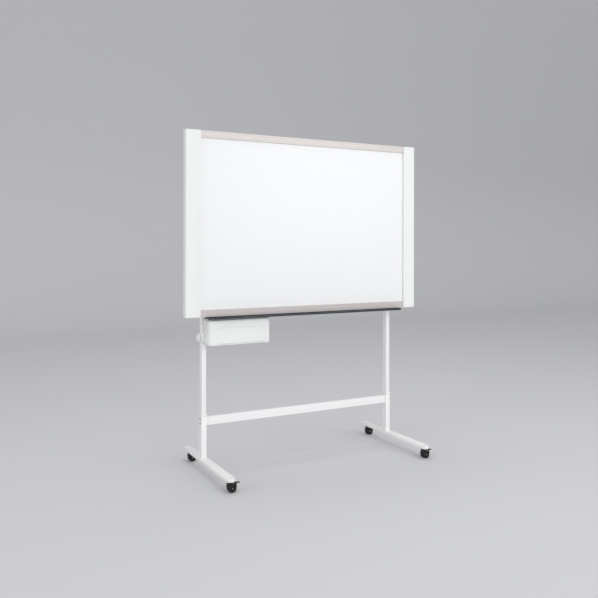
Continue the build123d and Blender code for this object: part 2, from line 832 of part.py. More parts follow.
# Printer
def printer_case():
    """Return the printer's shell with its front opening and the hinge ears."""
    outer = span(printer_left, printer_right, printer_front, printer_back,
                 printer_bottom, printer_top)
    outer = rounded(outer, Axis.Z, printer_corner,
                    lambda edge: edge.center().Y < printer_front + 1)
    outer = rounded(outer, Axis.Y, printer_edge)
    wall = printer_wall
    inner = span(printer_left + wall, printer_right - wall, printer_front + wall,
                 printer_back - wall, printer_bottom + wall, printer_top - wall)
    inner = rounded(inner, Axis.Z, printer_corner - wall,
                    lambda edge: edge.center().Y < printer_front + wall + 1)
    case = outer - rounded(inner, Axis.Y, printer_edge - wall)
    case -= span(door_left, door_right, printer_front, printer_front + wall,
                 door_bottom, door_top)
    for x0, x1 in ((door_left - hinge_ear, door_left), (door_right, door_right + hinge_ear)):
        case += span(x0, x1, printer_front + wall - overlap, hinge_y + hinge_radius,
                     printer_bottom + wall - overlap, hinge_z + hinge_radius)
        case -= rod_x(hinge_pin + running_gap, x0, x1, hinge_y, hinge_z)
    return case


def printer_door():
    """Return the fold-down front door with its hinge barrel and pins."""
    x0, x1 = door_left + door_gap, door_right - door_gap
    plate = span(x0, x1, printer_front, printer_front + printer_wall,
                 hinge_z, door_top - door_gap)
    barrel = rod_x(hinge_radius, x0, x1, hinge_y, hinge_z)
    pins = rod_x(hinge_pin, door_left - hinge_ear + 1, door_right + hinge_ear - 1,
                 hinge_y, hinge_z)
    return plate + barrel + pins


def printer_chassis():
    """Return the metal frame that carries the platen and the paper roll."""
    y0, y1 = printer_front + 14, printer_back - printer_wall
    z0 = printer_bottom + printer_wall
    z1 = platen_z + 14
    frame = span(chassis_left, chassis_right, y0, y1, z0, z0 + chassis_base)
    for x0 in (chassis_left, chassis_right - chassis_wall):
        frame += span(x0, x0 + chassis_wall, printer_front + 7, y1, z0 + 12, z1)
        frame += span(x0, x0 + chassis_wall, y0, y1, z0, z0 + 12)
    reach = (chassis_left - 1, chassis_right + 1)
    frame -= rod_x(paper_shaft + running_gap, *reach, paper_y, paper_z)
    return frame - rod_x(platen_shaft + running_gap, *reach, platen_y, platen_z)


def print_head():
    """Return the thermal line head behind the platen, between the chassis plates."""
    x0, x1 = chassis_left + chassis_wall, chassis_right - chassis_wall
    y0 = platen_y + platen_radius + body_gap
    return span(x0, x1, y0, y0 + head_depth, platen_z - head_half_height,
                platen_z + head_half_height)


def platen_roller():
    """Return the rubber platen on its shaft."""
    middle = (chassis_left + chassis_right) / 2
    half = (chassis_right - chassis_left) / 2 - chassis_wall - body_gap - 0.7
    drum = rod_x(platen_radius, middle - half, middle + half, platen_y, platen_z)
    return drum + rod_x(platen_shaft, chassis_left - 3, chassis_right + 12,
                        platen_y, platen_z)


def feed_gear():
    """Return the platen's gear, outside the right chassis plate."""
    gear = spur_gear(pinion_teeth, feed_gear_width, platen_shaft, 0.0)
    return Pos(chassis_right + 4, platen_y, platen_z) * Rot(0, 90, 0) * gear


def feed_motor():
    """Return the paper feed motor on the right chassis plate."""
    y = platen_y + 26
    return rod_x(feed_motor_radius, chassis_right, chassis_right + feed_motor_length,
                 y, platen_z - head_half_height)


def paper_roll():
    """Return the paper roll on its shaft."""
    middle = (chassis_left + chassis_right) / 2
    roll = rod_x(paper_radius, middle - paper_width / 2, middle + paper_width / 2,
                 paper_y, paper_z)
    return roll + rod_x(paper_shaft, chassis_left - 1, chassis_right + 1, paper_y, paper_z)


def printer_clamp():
    """Return the clamp round the left upper post, with the arm along the printer."""
    x0, x1 = -post_x - post_width / 2, -post_x + post_width / 2
    y0, y1 = post_y - post_depth / 2, post_y + post_depth / 2
    z0, z1 = clamp_level - clamp_height / 2, clamp_level + clamp_height / 2
    block = span(x0 - clamp_wall, x1 + clamp_wall, y0 - clamp_wall, y1 + clamp_wall, z0, z1)
    block = rounded(block, Axis.Z, clamp_corner) - span(x0, x1, y0, y1, z0, z1)
    arm = span(printer_left - clamp_wall, printer_left,
               printer_front + printer_corner, y0 - 1, z0, z1)
    clamp = block + arm
    return clamp - rod_x(stem_radius + running_gap, x0 - clamp_wall, x0, post_y, clamp_level)


def clamp_knob():
    """Return the round clamping knob with its screw."""
    face = -post_x - post_width / 2 - clamp_wall
    knob = rod_x(knob_radius, face - knob_stand - knob_thickness, face - knob_stand,
                 post_y, clamp_level)
    ring = knob_radius + grip_offset
    for index in range(knob_grips):
        angle = 2 * pi * index / knob_grips
        knob -= rod_x(grip_radius, face - knob_stand - knob_thickness, face - knob_stand,
                      post_y + ring * cos(angle), clamp_level + ring * sin(angle))
    screw_end = -post_x - post_width / 2 - body_gap
    return knob + rod_x(stem_radius, face - knob_stand, screw_end, post_y, clamp_level)


# Stand
write("left_foot", foot_tube(-post_x))
write("right_foot", foot_tube(post_x))
write("foot_end_caps", [foot_cap(side * post_x, way) for side in sides for way in sides])
write("caster_sockets", [
    caster_socket(side * post_x, way * caster_y) for side in sides for way in sides])
write("left_lower_post", lower_post(-1))
write("right_lower_post", lower_post(1))
write("post_collars", [collar(side) for side in sides])
write("stand_screws", [lock_screw(side, z) for side in sides for z in lock_levels()]
      + mirrored(bar_screw()))
write("crossbar", crossbar())
write("crossbar_plugs", mirrored(bar_plug_block()))

# Casters
caster_places = {
    "front_left": (-post_x, -caster_y, True),
    "front_right": (post_x, -caster_y, True),
    "rear_left": (-post_x, caster_y, False),
    "rear_right": (post_x, caster_y, False),
}
for name, (x, y, braked) in caster_places.items():
    write(f"{name}_caster_fork", caster_fork(x, y, braked))
    write(f"{name}_wheels", wheel_pair(x, y))
    if braked:
        write(f"{name}_brake_lever", brake_lever(x, y))

# Board
write("left_upper_post", upper_post(-1))
write("right_upper_post", upper_post(1))
write("upper_post_caps", [post_cap(side) for side in sides])
write("rear_rails", [rear_rail(z) for z in rear_rail_levels])
write("post_brackets", [
    post_bracket(side * post_x, z) for side in sides for z in rear_rail_levels])
write("board_screws", [
    bracket_bolt(side * post_x, z) for side in sides for z in rear_rail_levels] + [
    cover_screw(side * x, z) for side in sides for x, z in cover_screw_places()] + [
    screw_for_tray(x, y) for x, y in tray_screw_places()])
write("top_rail", rail(True))
write("bottom_rail", rail(False))
right_cover = side_cover(1)
for width, height, level in (
        (bezel_width, bezel_height, panel_level),
        (inlet_width, inlet_height, inlet_level),
        (switch_width, switch_height, switch_level)):
    right_cover -= side_opening(width, height, level)
write("left_side_cover", side_cover(-1))
write("right_side_cover", right_cover)
write("corner_blocks", mirrored(corner_block(True)) + mirrored(corner_block(False)))
write("roller_bushes", mirrored(roller_bush(block_under, inner_top))
      + mirrored(roller_bush(inner_bottom, block_top)))
write("writing_sheet", sheet_loop())
write("core_panel", core_panel())
write("back_panel", back_panel())
write("image_sensor", image_sensor())
write("drive_motor", drive_motor())
write("control_bezel", control_bezel())
write("circuit_boards", [button_board(), main_board()])
write("power_inlet", power_inlet())
write("pen_tray", pen_tray())

# Moving pieces of the board
write("drive_roller", roller(1))
write("drive_gear", Pos(roller_x, roller_y, gear_bottom)
      * spur_gear(gear_teeth, gear_width, journal_radius, 0.0))
write("idler_roller", roller(-1))
write("motor_pinion", motor_pinion())
for index, z in enumerate(button_levels()):
    write(f"button_{index + 1}", button(z))
write("power_rocker", power_rocker())

# Printer
write("printer_clamp", printer_clamp())
write("clamp_knob", clamp_knob())
write("printer_case", printer_case())
write("printer_door", printer_door())
write("printer_chassis", printer_chassis())
write("print_head", print_head())
write("platen_roller", platen_roller())
write("feed_gear", feed_gear())
write("feed_motor", feed_motor())
write("paper_roll", paper_roll())
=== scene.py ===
import bpy
import bmesh
from contextlib import contextmanager
from math import cos, pi, radians, sin, sqrt
from mathutils import Matrix, Vector


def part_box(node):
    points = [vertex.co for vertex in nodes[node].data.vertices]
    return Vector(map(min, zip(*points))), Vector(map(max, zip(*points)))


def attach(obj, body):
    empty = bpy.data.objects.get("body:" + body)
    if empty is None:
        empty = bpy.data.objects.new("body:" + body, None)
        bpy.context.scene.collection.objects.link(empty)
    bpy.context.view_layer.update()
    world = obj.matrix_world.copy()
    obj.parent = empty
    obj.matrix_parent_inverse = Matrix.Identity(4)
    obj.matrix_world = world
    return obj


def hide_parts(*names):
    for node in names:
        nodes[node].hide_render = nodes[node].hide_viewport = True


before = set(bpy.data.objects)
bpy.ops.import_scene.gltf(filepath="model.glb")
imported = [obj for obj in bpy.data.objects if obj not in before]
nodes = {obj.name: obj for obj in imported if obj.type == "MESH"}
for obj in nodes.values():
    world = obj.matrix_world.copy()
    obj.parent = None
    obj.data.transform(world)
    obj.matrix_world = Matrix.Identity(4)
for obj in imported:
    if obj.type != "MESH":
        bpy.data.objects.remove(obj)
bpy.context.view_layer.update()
mm = 0.001
print("frame loaded:", len(nodes), "nodes")


# in the dictionaries below a number with a point is a length in millimetres and a whole number
# is a count, unless a note says otherwise
def inMetres(shape):
    return {key: value * mm for key, value in shape.items() if isinstance(value, float)}


def span(node):
    # lowest corner, highest corner and middle of a node
    low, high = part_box(node)
    return low, high, (low + high) / 2


# camera and photograph
photoView = {
    "size": 598,          # pixels each way
    "focal": 706.6,       # pixels
    "horizonRow": 244.8,  # pixel row of the horizon
    "turn": 28.37,        # degrees to the right of straight ahead
    "roll": 0.086,        # degrees
    "place": (-1.9441, -3.4988, 1.2163),  # metres
    "sensor": 36,         # millimetres
}


def addCamera(view):
    data = bpy.data.cameras.new("photoCamera")
    data.sensor_width = view["sensor"]
    data.lens = view["focal"] / view["size"] * data.sensor_width
    data.shift_y = (view["horizonRow"] - view["size"] / 2) / view["size"]
    camera = bpy.data.objects.new("photoCamera", data)
    bpy.context.scene.collection.objects.link(camera)
    turn = Matrix.Rotation(-radians(view["turn"]), 3, "Z")
    level = Matrix.Rotation(radians(90), 3, "X")
    camera.rotation_euler = (turn @ level @ Matrix.Rotation(radians(view["roll"]), 3, "Z")).to_euler()
    camera.location = view["place"]
    bpy.context.scene.camera = camera


addCamera(photoView)


# node helpers, for materials and Geometry Nodes alike
def feed(tree, value, socket):
    # links another node's output, or sets a plain value
    if isinstance(value, bpy.types.NodeSocket):
        tree.links.new(value, socket)
    else:
        socket.default_value = value


def putNode(tree, kind, inputs=None, **settings):
    node = tree.nodes.new(kind)
    for key, value in settings.items():
        setattr(node, key, value)
    for label, value in (inputs or {}).items():
        feed(tree, value, node.inputs[label])
    return node


def addMath(tree, operation, *values):
    return putNode(tree, "ShaderNodeMath", dict(enumerate(values)), operation=operation).outputs[0]


def mixColour(tree, factor, a, b, blend="MIX"):
    mix = putNode(tree, "ShaderNodeMix", {0: factor, 6: a, 7: b}, data_type="RGBA", blend_type=blend)
    return mix.outputs[2]


def scaledNoise(tree, vector, scale, detail, stretch=None):
    if stretch:
        vector = putNode(tree, "ShaderNodeMapping", {"Scale": stretch, "Vector": vector}).outputs[0]
    noise = putNode(tree, "ShaderNodeTexNoise", {"Vector": vector, "Scale": scale, "Detail": detail})
    return noise.outputs["Fac"]


# shader node groups: scales are in cells per metre, the other values are shares
surfaceDetail = {"pebbleShare": 0.6, "dustStart": 0.35, "dustGain": 2.4, "dustDulling": 0.4,
                 "speckScale": 420.0, "drawnBroad": 60.0, "drawnSlow": 2.0}


def newGroup(name, inputs, outputs):
    group = bpy.data.node_groups.new(name, "ShaderNodeTree")
    for label, value in inputs.items():
        socket = group.interface.new_socket(name=label, in_out="INPUT", socket_type="NodeSocketFloat")
        socket.default_value = value
    for label in outputs:
        group.interface.new_socket(name=label, in_out="OUTPUT", socket_type="NodeSocketFloat")
    place = putNode(group, "ShaderNodeTexCoord").outputs["Object"]
    return group, group.nodes.new("NodeGroupInput").outputs, group.nodes.new("NodeGroupOutput").inputs, place


def makeGrainGroup():
    # fine pebbled relief of moulded plastic or powder coat, and a slow change of tone
    group, given, made, place = newGroup(
        "surfaceGrain", {"Grain Scale": 900.0, "Tone Scale": 3.0, "Tone Amount": 0.03},
        ("Height", "Tone", "Gloss"))
    cells = putNode(group, "ShaderNodeTexVoronoi", {"Vector": place, "Scale": given["Grain Scale"]})
    fine = scaledNoise(group, place, given["Grain Scale"], 3.0)
    pebbles = addMath(group, "MULTIPLY_ADD", cells.outputs["Distance"], surfaceDetail["pebbleShare"], fine)
    slow = scaledNoise(group, place, given["Tone Scale"], 5.0)
    tone = addMath(group, "MULTIPLY", addMath(group, "SUBTRACT", slow, 0.5), given["Tone Amount"])
    feed(group, pebbles, made["Height"])
    feed(group, addMath(group, "ADD", tone, 1.0), made["Tone"])
    feed(group, slow, made["Gloss"])
    return group


def makeDustGroup():
    # thin dust that gathers on what faces up, broken up by noise
    group, given, made, place = newGroup("settledDust", {"Amount": 0.3, "Scale": 18.0}, ("Mask",))
    normal = putNode(group, "ShaderNodeNewGeometry").outputs["Normal"]
    facing = putNode(group, "ShaderNodeSeparateXYZ", {0: normal})
    up = putNode(group, "ShaderNodeMapRange", {
        "Value": facing.outputs["Z"], "From Min": surfaceDetail["dustStart"], "From Max": 1.0})
    patches = scaledNoise(group, place, given["Scale"], 6.0)
    specks = scaledNoise(group, place, surfaceDetail["speckScale"], 2.0)
    both = addMath(group, "MULTIPLY", addMath(group, "MULTIPLY", patches, specks), surfaceDetail["dustGain"])
    lying = addMath(group, "MULTIPLY", both, up.outputs[0])
    feed(group, addMath(group, "MULTIPLY", lying, given["Amount"]), made["Mask"])
    return group


def makeStreakGroup():
    # drawing lines of an extrusion, long in X and fine across
    group, given, made, place = newGroup(
        "drawnStreaks", {"Fineness": 700.0, "Amount": 0.05}, ("Height", "Tone", "Gloss"))
    fine = scaledNoise(group, place, given["Fineness"], 3.0, (0.004, 1.0, 1.0))
    broad = scaledNoise(group, place, surfaceDetail["drawnBroad"], 2.0, (0.01, 1.0, 1.0))
    slow = scaledNoise(group, place, surfaceDetail["drawnSlow"], 3.0, (1.0, 1.0, 0.2))
    sides = [addMath(group, "SUBTRACT", noise, 0.5) for noise in (broad, slow)]
    tone = addMath(group, "MULTIPLY", addMath(group, "ADD", *sides), given["Amount"])
    feed(group, fine, made["Height"])
    feed(group, addMath(group, "ADD", tone, 1.0), made["Tone"])
    feed(group, broad, made["Gloss"])
    return group


grainGroup = makeGrainGroup()
dustGroup = makeDustGroup()
streakGroup = makeStreakGroup()


# materials: colours and shares, with reliefDepth in metres
# grain holds grain scale, tone scale and tone amount, streaks holds fineness and amount,
# and slot names the slot that the finish stands for
usualFinish = {"roughSpread": 0.05, "relief": 0.3, "reliefDepth": 0.0002, "dust": 0.0,
               "dustColour": (0.55, 0.53, 0.50), "sockets": {}}
finishes = {
    "whitePowderCoat": {
        "colour": (0.92, 0.92, 0.915), "roughness": 0.42, "roughSpread": 0.06, "relief": 0.35,
        "reliefDepth": 0.0003, "dust": 0.10, "grain": (650.0, 2.2, 0.04), "slot": "painted_steel"},
    "whiteMoulding": {
        "colour": (0.86, 0.87, 0.86), "roughness": 0.5, "dust": 0.08, "grain": (1300.0, 1.8, 0.03),
        "slot": "white_plastic"},
    "greyMoulding": {
        "colour": (0.42, 0.43, 0.44), "roughness": 0.55, "roughSpread": 0.06, "relief": 0.35,
        "dust": 0.12, "grain": (1300.0, 8.0, 0.06), "slot": "grey_plastic"},
    "darkGreyMoulding": {
        "colour": (0.045, 0.046, 0.05), "roughness": 0.5, "roughSpread": 0.06, "relief": 0.35,
        "dust": 0.12, "grain": (1300.0, 20.0, 0.1), "slot": "grey_plastic"},
    "blackNylon": {
        "colour": (0.007, 0.007, 0.008), "roughness": 0.45, "roughSpread": 0.08, "relief": 0.4,
        "dust": 0.05, "dustColour": (0.18, 0.17, 0.16), "grain": (1100.0, 20.0, 0.3),
        "slot": "black_plastic"},
    "treadRubber": {
        "colour": (0.010, 0.010, 0.010), "roughness": 0.75, "roughSpread": 0.1, "relief": 0.6,
        "reliefDepth": 0.0004, "dust": 0.12, "dustColour": (0.2, 0.19, 0.18),
        "grain": (500.0, 40.0, 0.5), "slot": "black_plastic"},
    "writingFilm": {
        "colour": (0.87, 0.873, 0.873), "roughness": 0.34, "roughSpread": 0.04, "relief": 0.06,
        "reliefDepth": 0.0004, "sockets": {"Coat Weight": 0.15, "Coat Roughness": 0.2},
        "grain": (160.0, 1.2, 0.012)},
    "rollerMetal": {
        "colour": (0.62, 0.62, 0.63), "roughness": 0.38, "roughSpread": 0.08, "relief": 0.2,
        "reliefDepth": 0.0001, "sockets": {"Metallic": 1.0}, "grain": (900.0, 30.0, 0.1),
        "slot": "roller_metal"},
    "zincPlate": {
        "colour": (0.60, 0.60, 0.58), "roughness": 0.33, "roughSpread": 0.08, "relief": 0.2,
        "reliefDepth": 0.0001, "dust": 0.05, "sockets": {"Metallic": 1.0},
        "grain": (500.0, 60.0, 0.16), "slot": "bright_steel"},
    "ribbedCore": {
        "colour": (0.70, 0.70, 0.68), "roughness": 0.6, "grain": (500.0, 4.0, 0.06),
        "slot": "core_plastic"},
    "acetal": {
        "colour": (0.78, 0.76, 0.68), "roughness": 0.4, "relief": 0.2, "reliefDepth": 0.0001,
        "sockets": {"Subsurface Weight": 0.05}, "grain": (900.0, 30.0, 0.05), "slot": "bush_plastic"},
    "solderMask": {
        "colour": (0.02, 0.16, 0.07), "roughness": 0.3, "roughSpread": 0.08, "relief": 0.4,
        "reliefDepth": 0.0001, "dust": 0.05, "sockets": {"Coat Weight": 0.4},
        "grain": (260.0, 90.0, 0.5)},
    "platenRubber": {
        "colour": (0.03, 0.03, 0.032), "roughness": 0.7, "roughSpread": 0.08, "relief": 0.4,
        "dust": 0.1, "grain": (900.0, 30.0, 0.3), "slot": "rubber"},
    "thermalPaper": {
        "colour": (0.80, 0.80, 0.78), "roughness": 0.75, "relief": 0.35, "grain": (1400.0, 12.0, 0.05),
        "slot": "paper"},
    "brownCard": {
        "colour": (0.36, 0.25, 0.15), "roughness": 0.85, "relief": 0.5, "reliefDepth": 0.0003,
        "grain": (500.0, 60.0, 0.25)},
    "chipBlack": {
        "colour": (0.02, 0.02, 0.022), "roughness": 0.35, "roughSpread": 0.06, "reliefDepth": 0.0001,
        "dust": 0.08, "grain": (1500.0, 80.0, 0.3)},
    "trayGloss": {
        "colour": (0.010, 0.016, 0.028), "roughness": 0.12, "relief": 0.08, "reliefDepth": 0.0003,
        "dust": 0.14, "dustColour": (0.25, 0.25, 0.25), "slot": "tray_plastic",
        "sockets": {"Coat Weight": 0.6, "Coat Roughness": 0.06}, "grain": (120.0, 14.0, 0.4)},
    "silverRail": {
        "colour": (0.60, 0.56, 0.545), "roughness": 0.48, "roughSpread": 0.06, "relief": 0.25,
        "dust": 0.04, "sockets": {"Metallic": 0.45, "Anisotropic": 0.35}, "streaks": (900.0, 0.10),
        "slot": "rail_metal"},
}


def newMaterial(name, sockets):
    material = bpy.data.materials.new(name)
    material.use_nodes = True
    shader = material.node_tree.nodes["Principled BSDF"]
    for label, value in sockets.items():
        shader.inputs[label].default_value = value
    return material, material.node_tree, shader.inputs


def wearableFinish(name, finish):
    # colour with a slow change of tone, relief from the group, and dust on top
    material, tree, shader = newMaterial(name, finish["sockets"])
    material.diffuse_color = finish["colour"] + (1.0,)
    if "streaks" in finish:
        group, values = streakGroup, zip(("Fineness", "Amount"), finish["streaks"])
    else:
        group, values = grainGroup, zip(("Grain Scale", "Tone Scale", "Tone Amount"), finish["grain"])
    base = putNode(tree, "ShaderNodeGroup", dict(values), node_tree=group).outputs
    grey = putNode(tree, "ShaderNodeCombineColor", dict.fromkeys(range(3), base["Tone"]))
    toned = mixColour(tree, 1.0, finish["colour"] + (1.0,), grey.outputs[0], "MULTIPLY")
    dust = putNode(tree, "ShaderNodeGroup", {"Amount": finish["dust"]}, node_tree=dustGroup).outputs["Mask"]
    feed(tree, mixColour(tree, dust, toned, finish["dustColour"] + (1.0,)), shader["Base Color"])
    gloss = putNode(tree, "ShaderNodeMapRange", {
        "Value": base["Gloss"], "To Min": finish["roughness"] - finish["roughSpread"],
        "To Max": finish["roughness"] + finish["roughSpread"]})
    dulled = addMath(tree, "MULTIPLY_ADD", dust, surfaceDetail["dustDulling"], gloss.outputs[0])
    feed(tree, dulled, shader["Roughness"])
    bump = putNode(tree, "ShaderNodeBump", {
        "Strength": finish["relief"], "Distance": finish["reliefDepth"], "Height": base["Height"]})
    feed(tree, bump.outputs[0], shader["Normal"])
    return material


materials = {name: wearableFinish(name, dict(usualFinish, **finish)) for name, finish in finishes.items()}
print("materials made:", len(materials))


# mesh helpers
edgeSteps = 4  # faces round each eased edge


def newPiece(name, points, faces):
    mesh = bpy.data.meshes.new(name)
    mesh.from_pydata([tuple(p) for p in points], [], faces)
    piece = bpy.data.objects.new(name, mesh)
    bpy.context.scene.collection.objects.link(piece)
    return piece


@contextmanager
def reworked(piece):
    work = bmesh.new()
    work.from_mesh(piece.data)
    yield work
    work.to_mesh(piece.data)
    work.free()


def plainMesh(piece):
    # bakes the live modifiers into the mesh
    bpy.context.view_layer.update()
    shown = piece.evaluated_get(bpy.context.evaluated_depsgraph_get())
    mesh = bpy.data.meshes.new_from_object(shown)
    piece.modifiers.clear()
    piece.data = mesh
    return piece


def settle(piece, material, body, stands=(), sharp=35):
    # bakes, shades and coats a finished piece, then sets it on its body; sharp is in degrees
    plainMesh(piece)
    mesh = piece.data
    mesh.polygons.foreach_set("use_smooth", [True] * len(mesh.polygons))
    mesh.set_sharp_from_angle(angle=radians(sharp))
    mesh.materials.clear()
    mesh.materials.append(materials[material])
    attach(piece, body)
    if stands:
        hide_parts(*stands)


def loft(name, rings, caps=True):
    # joins closed rings of points, with the first and last filled where caps are wanted
    count = len(rings[0])
    points = [p for ring in rings for p in ring]
    faces = []
    for r in range(len(rings) - 1):
        for i in range(count):
            j = (i + 1) % count
            faces.append((r * count + i, r * count + j, (r + 1) * count + j, (r + 1) * count + i))
    if caps:
        faces.append(tuple(range(count)))
        faces.append(tuple((len(rings) - 1) * count + i for i in range(count)))
    piece = newPiece(name, points, faces)
    with reworked(piece) as work:
        bmesh.ops.remove_doubles(work, verts=work.verts, dist=1e-6)
        bmesh.ops.recalc_face_normals(work, faces=work.faces)
    return piece


def arcPoints(cx, cy, radius, start, end, steps):
    turn = [radians(start + (end - start) * i / steps) for i in range(steps + 1)]
    return [(cx + radius * cos(a), cy + radius * sin(a)) for a in turn]


def roundedRect(x0, x1, y0, y1, radii, steps=8):
    # radii go anticlockwise from the low corner
    r = radii if isinstance(radii, tuple) else (radii,) * 4
    corners = ((x0 + r[0], y0 + r[0], r[0], 180), (x1 - r[1], y0 + r[1], r[1], 270),
               (x1 - r[2], y1 - r[2], r[2], 0), (x0 + r[3], y1 - r[3], r[3], 90))
    points = []
    for cx, cy, radius, start in corners:
        points += arcPoints(cx, cy, radius, start, start + 90, steps)
    return points


def insetOutline(points, amount):
    # moves an outline inwards, past any pair of points that lie together
    same, leastTurn = 1e-9, 0.35
    count = len(points)
    moved = []
    for i in range(count):
        before = Vector(points[i]) - Vector(points[i - 1])
        after = Vector(points[(i + 1) % count]) - Vector(points[i])
        if before.length < same:
            before = Vector(points[i]) - Vector(points[i - 2])
        if after.length < same:
            after = Vector(points[(i + 2) % count]) - Vector(points[i])
        first = Vector((-before.y, before.x)).normalized()
        second = Vector((-after.y, after.x)).normalized()
        both = (first + second).normalized()
        reach = amount / max(both.dot(first), leastTurn)
        moved.append((points[i][0] + both.x * reach, points[i][1] + both.y * reach))
    return moved


def onAxis(axis, u, v, t):
    return {"x": (t, u, v), "y": (u, t, v), "z": (u, v, t)}[axis]


def roundedPrism(name, outline, axis, low, high, lowEdge, highEdge=None):
    # outline runs anticlockwise; each end is rounded by its own edge radius
    highEdge = lowEdge if highEdge is None else highEdge
    rings = []
    for end, edge, way in ((low, lowEdge, 1), (high, highEdge, -1)):
        section = arcPoints(edge, edge, edge, 270, 180, edgeSteps) if edge > 0 else [(0, 0)]
        stack = [[onAxis(axis, u, v, end + way * depth) for u, v in insetOutline(outline, inset)]
                 for inset, depth in section]
        rings += stack if way > 0 else stack[::-1]
    return loft(name, rings)


def block(name, x0, x1, y0, y1, z0, z1):
    return roundedPrism(name, [(x0, y0), (x1, y0), (x1, y1), (x0, y1)], "z", z0, z1, 0)


def spun(name, profile, axis, centre, steps=48, closed=False):
    # profile holds (radius, place along the axis) pairs
    rings = []
    for radius, t in profile:
        ring = [(centre[0] + radius * cos(2 * pi * i / steps), centre[1] + radius * sin(2 * pi * i / steps))
                for i in range(steps)]
        rings.append([onAxis(axis, u, v, t) for u, v in ring])
    if closed:
        rings.append(rings[0])
    return loft(name, rings, caps=not closed)


def softEnd(radius, low, high, edge):
    # profile of a rod with both rims eased
    rims = arcPoints(radius - edge, low + edge, edge, -90, 0, edgeSteps)
    rims += arcPoints(radius - edge, high - edge, edge, 0, 90, edgeSteps)
    return [(0.0, low)] + rims + [(0.0, high)]


def bevel(piece, width, angle=30):
    modifier = piece.modifiers.new("edges", "BEVEL")
    modifier.width = width
    modifier.segments = 2
    modifier.limit_method = "ANGLE"
    modifier.angle_limit = radians(angle)
    modifier.use_clamp_overlap = True
    return piece


def softCopy(node, width, name=None):
    # a node's own shape with its edges eased
    piece = bpy.data.objects.new(name or node.replace("_", "-") + "-eased", nodes[node].data.copy())
    bpy.context.scene.collection.objects.link(piece)
    piece.data.materials.clear()
    if piece.data.has_custom_normals:
        with bpy.context.temp_override(object=piece, active_object=piece):
            bpy.ops.mesh.customdata_custom_splitnormals_clear()
    with reworked(piece) as work:
        bmesh.ops.remove_doubles(work, verts=work.verts, dist=2e-6)
        bmesh.ops.dissolve_limit(work, angle_limit=radians(0.5), verts=work.verts, edges=work.edges)
    return bevel(piece, width, 32)


def movedCopy(piece, name, offset):
    copy = bpy.data.objects.new(name, piece.data.copy())
    copy.data.transform(Matrix.Translation(Vector(offset)))
    bpy.context.scene.collection.objects.link(copy)
    return copy


def joinPieces(name, pieces):
    joined = newPiece(name, [], [])
    with reworked(joined) as work:
        for piece in pieces:
            work.from_mesh(plainMesh(piece).data)
            bpy.data.objects.remove(piece)
    return joined


def cutAway(piece, cutters):
    for cutter in cutters:
        modifier = piece.modifiers.new("cut", "BOOLEAN")
        modifier.operation = "DIFFERENCE"
        modifier.solver = "EXACT"
        modifier.object = cutter
        plainMesh(piece)
        bpy.data.objects.remove(cutter)
    return piece


def dropCrumbs(piece):
    # merges what a cut left a hair apart, then deletes the loose faces that stay behind
    hair, fewFaces = 1e-6, 4
    with reworked(piece) as work:
        bmesh.ops.remove_doubles(work, verts=work.verts, dist=hair)
        bmesh.ops.dissolve_degenerate(work, edges=work.edges, dist=hair)
        seen = set()
        crumbs = []
        for face in work.faces:
            if face in seen:
                continue
            island = [face]
            seen.add(face)
            for member in island:
                near = {other for edge in member.edges for other in edge.link_faces} - seen
                seen |= near
                island += sorted(near, key=lambda other: other.index)
            if len(island) < fewFaces:
                crumbs += island
        bmesh.ops.delete(work, geom=crumbs, context="FACES")


# Geometry Nodes trees
def newTree(name, inputs):
    tree = bpy.data.node_groups.new(name, "GeometryNodeTree")
    for label, kind in dict({"Geometry": "Geometry"}, **inputs, Material="Material").items():
        tree.interface.new_socket(name=label, in_out="INPUT", socket_type="NodeSocket" + kind)
    tree.interface.new_socket(name="Geometry", in_out="OUTPUT", socket_type="NodeSocketGeometry")
    return tree, tree.nodes.new("NodeGroupInput").outputs


def endTree(tree, given, geometry):
    realize = putNode(tree, "GeometryNodeRealizeInstances", {0: geometry})
    coat = putNode(tree, "GeometryNodeSetMaterial", {
        "Geometry": realize.outputs[0], "Material": given["Material"]})
    putNode(tree, "NodeGroupOutput", {0: coat.outputs[0]})
    return tree


def copiesOn(tree, given, points, **more):
    # an instance of the piece on each point
    piece = putNode(tree, "GeometryNodeObjectInfo", {"Object": given["Piece"], "As Instance": True})
    inputs = {"Points": points, "Instance": piece.outputs["Geometry"]}
    return putNode(tree, "GeometryNodeInstanceOnPoints", dict(inputs, **more)).outputs[0]


def makeScatterTree():
    # puts the piece at each point, facing the point's own way, with a random turn about it
    tree, given = newTree("facingScatter", {"Piece": "Object", "Seed": "Int"})
    facing = putNode(tree, "GeometryNodeInputNamedAttribute", {"Name": "facing"}, data_type="FLOAT_VECTOR")
    align = putNode(tree, "FunctionNodeAlignRotationToVector", {
        "Vector": facing.outputs["Attribute"]}, axis="Z")
    spin = putNode(tree, "FunctionNodeRandomValue", {
        "Max": 2 * pi, "Seed": given["Seed"]}, data_type="FLOAT")
    own = putNode(tree, "FunctionNodeAxisAngleToRotation", {
        "Axis": (0, 0, 1), "Angle": spin.outputs["Value"]})
    turn = putNode(tree, "FunctionNodeRotateRotation", {
        "Rotation": align.outputs[0], "Rotate By": own.outputs[0]}, rotation_space="LOCAL")
    return endTree(tree, given, copiesOn(tree, given, given["Geometry"], Rotation=turn.outputs[0]))


def makeLineTree():
    # repeats the piece along a straight step
    tree, given = newTree("lineOfCopies", {
        "Piece": "Object", "Count": "Int", "Start": "Vector", "Step": "Vector"})
    line = putNode(tree, "GeometryNodeMeshLine", {
        "Count": given["Count"], "Start Location": given["Start"], "Offset": given["Step"]}, mode="OFFSET")
    return endTree(tree, given, copiesOn(tree, given, line.outputs[0]))


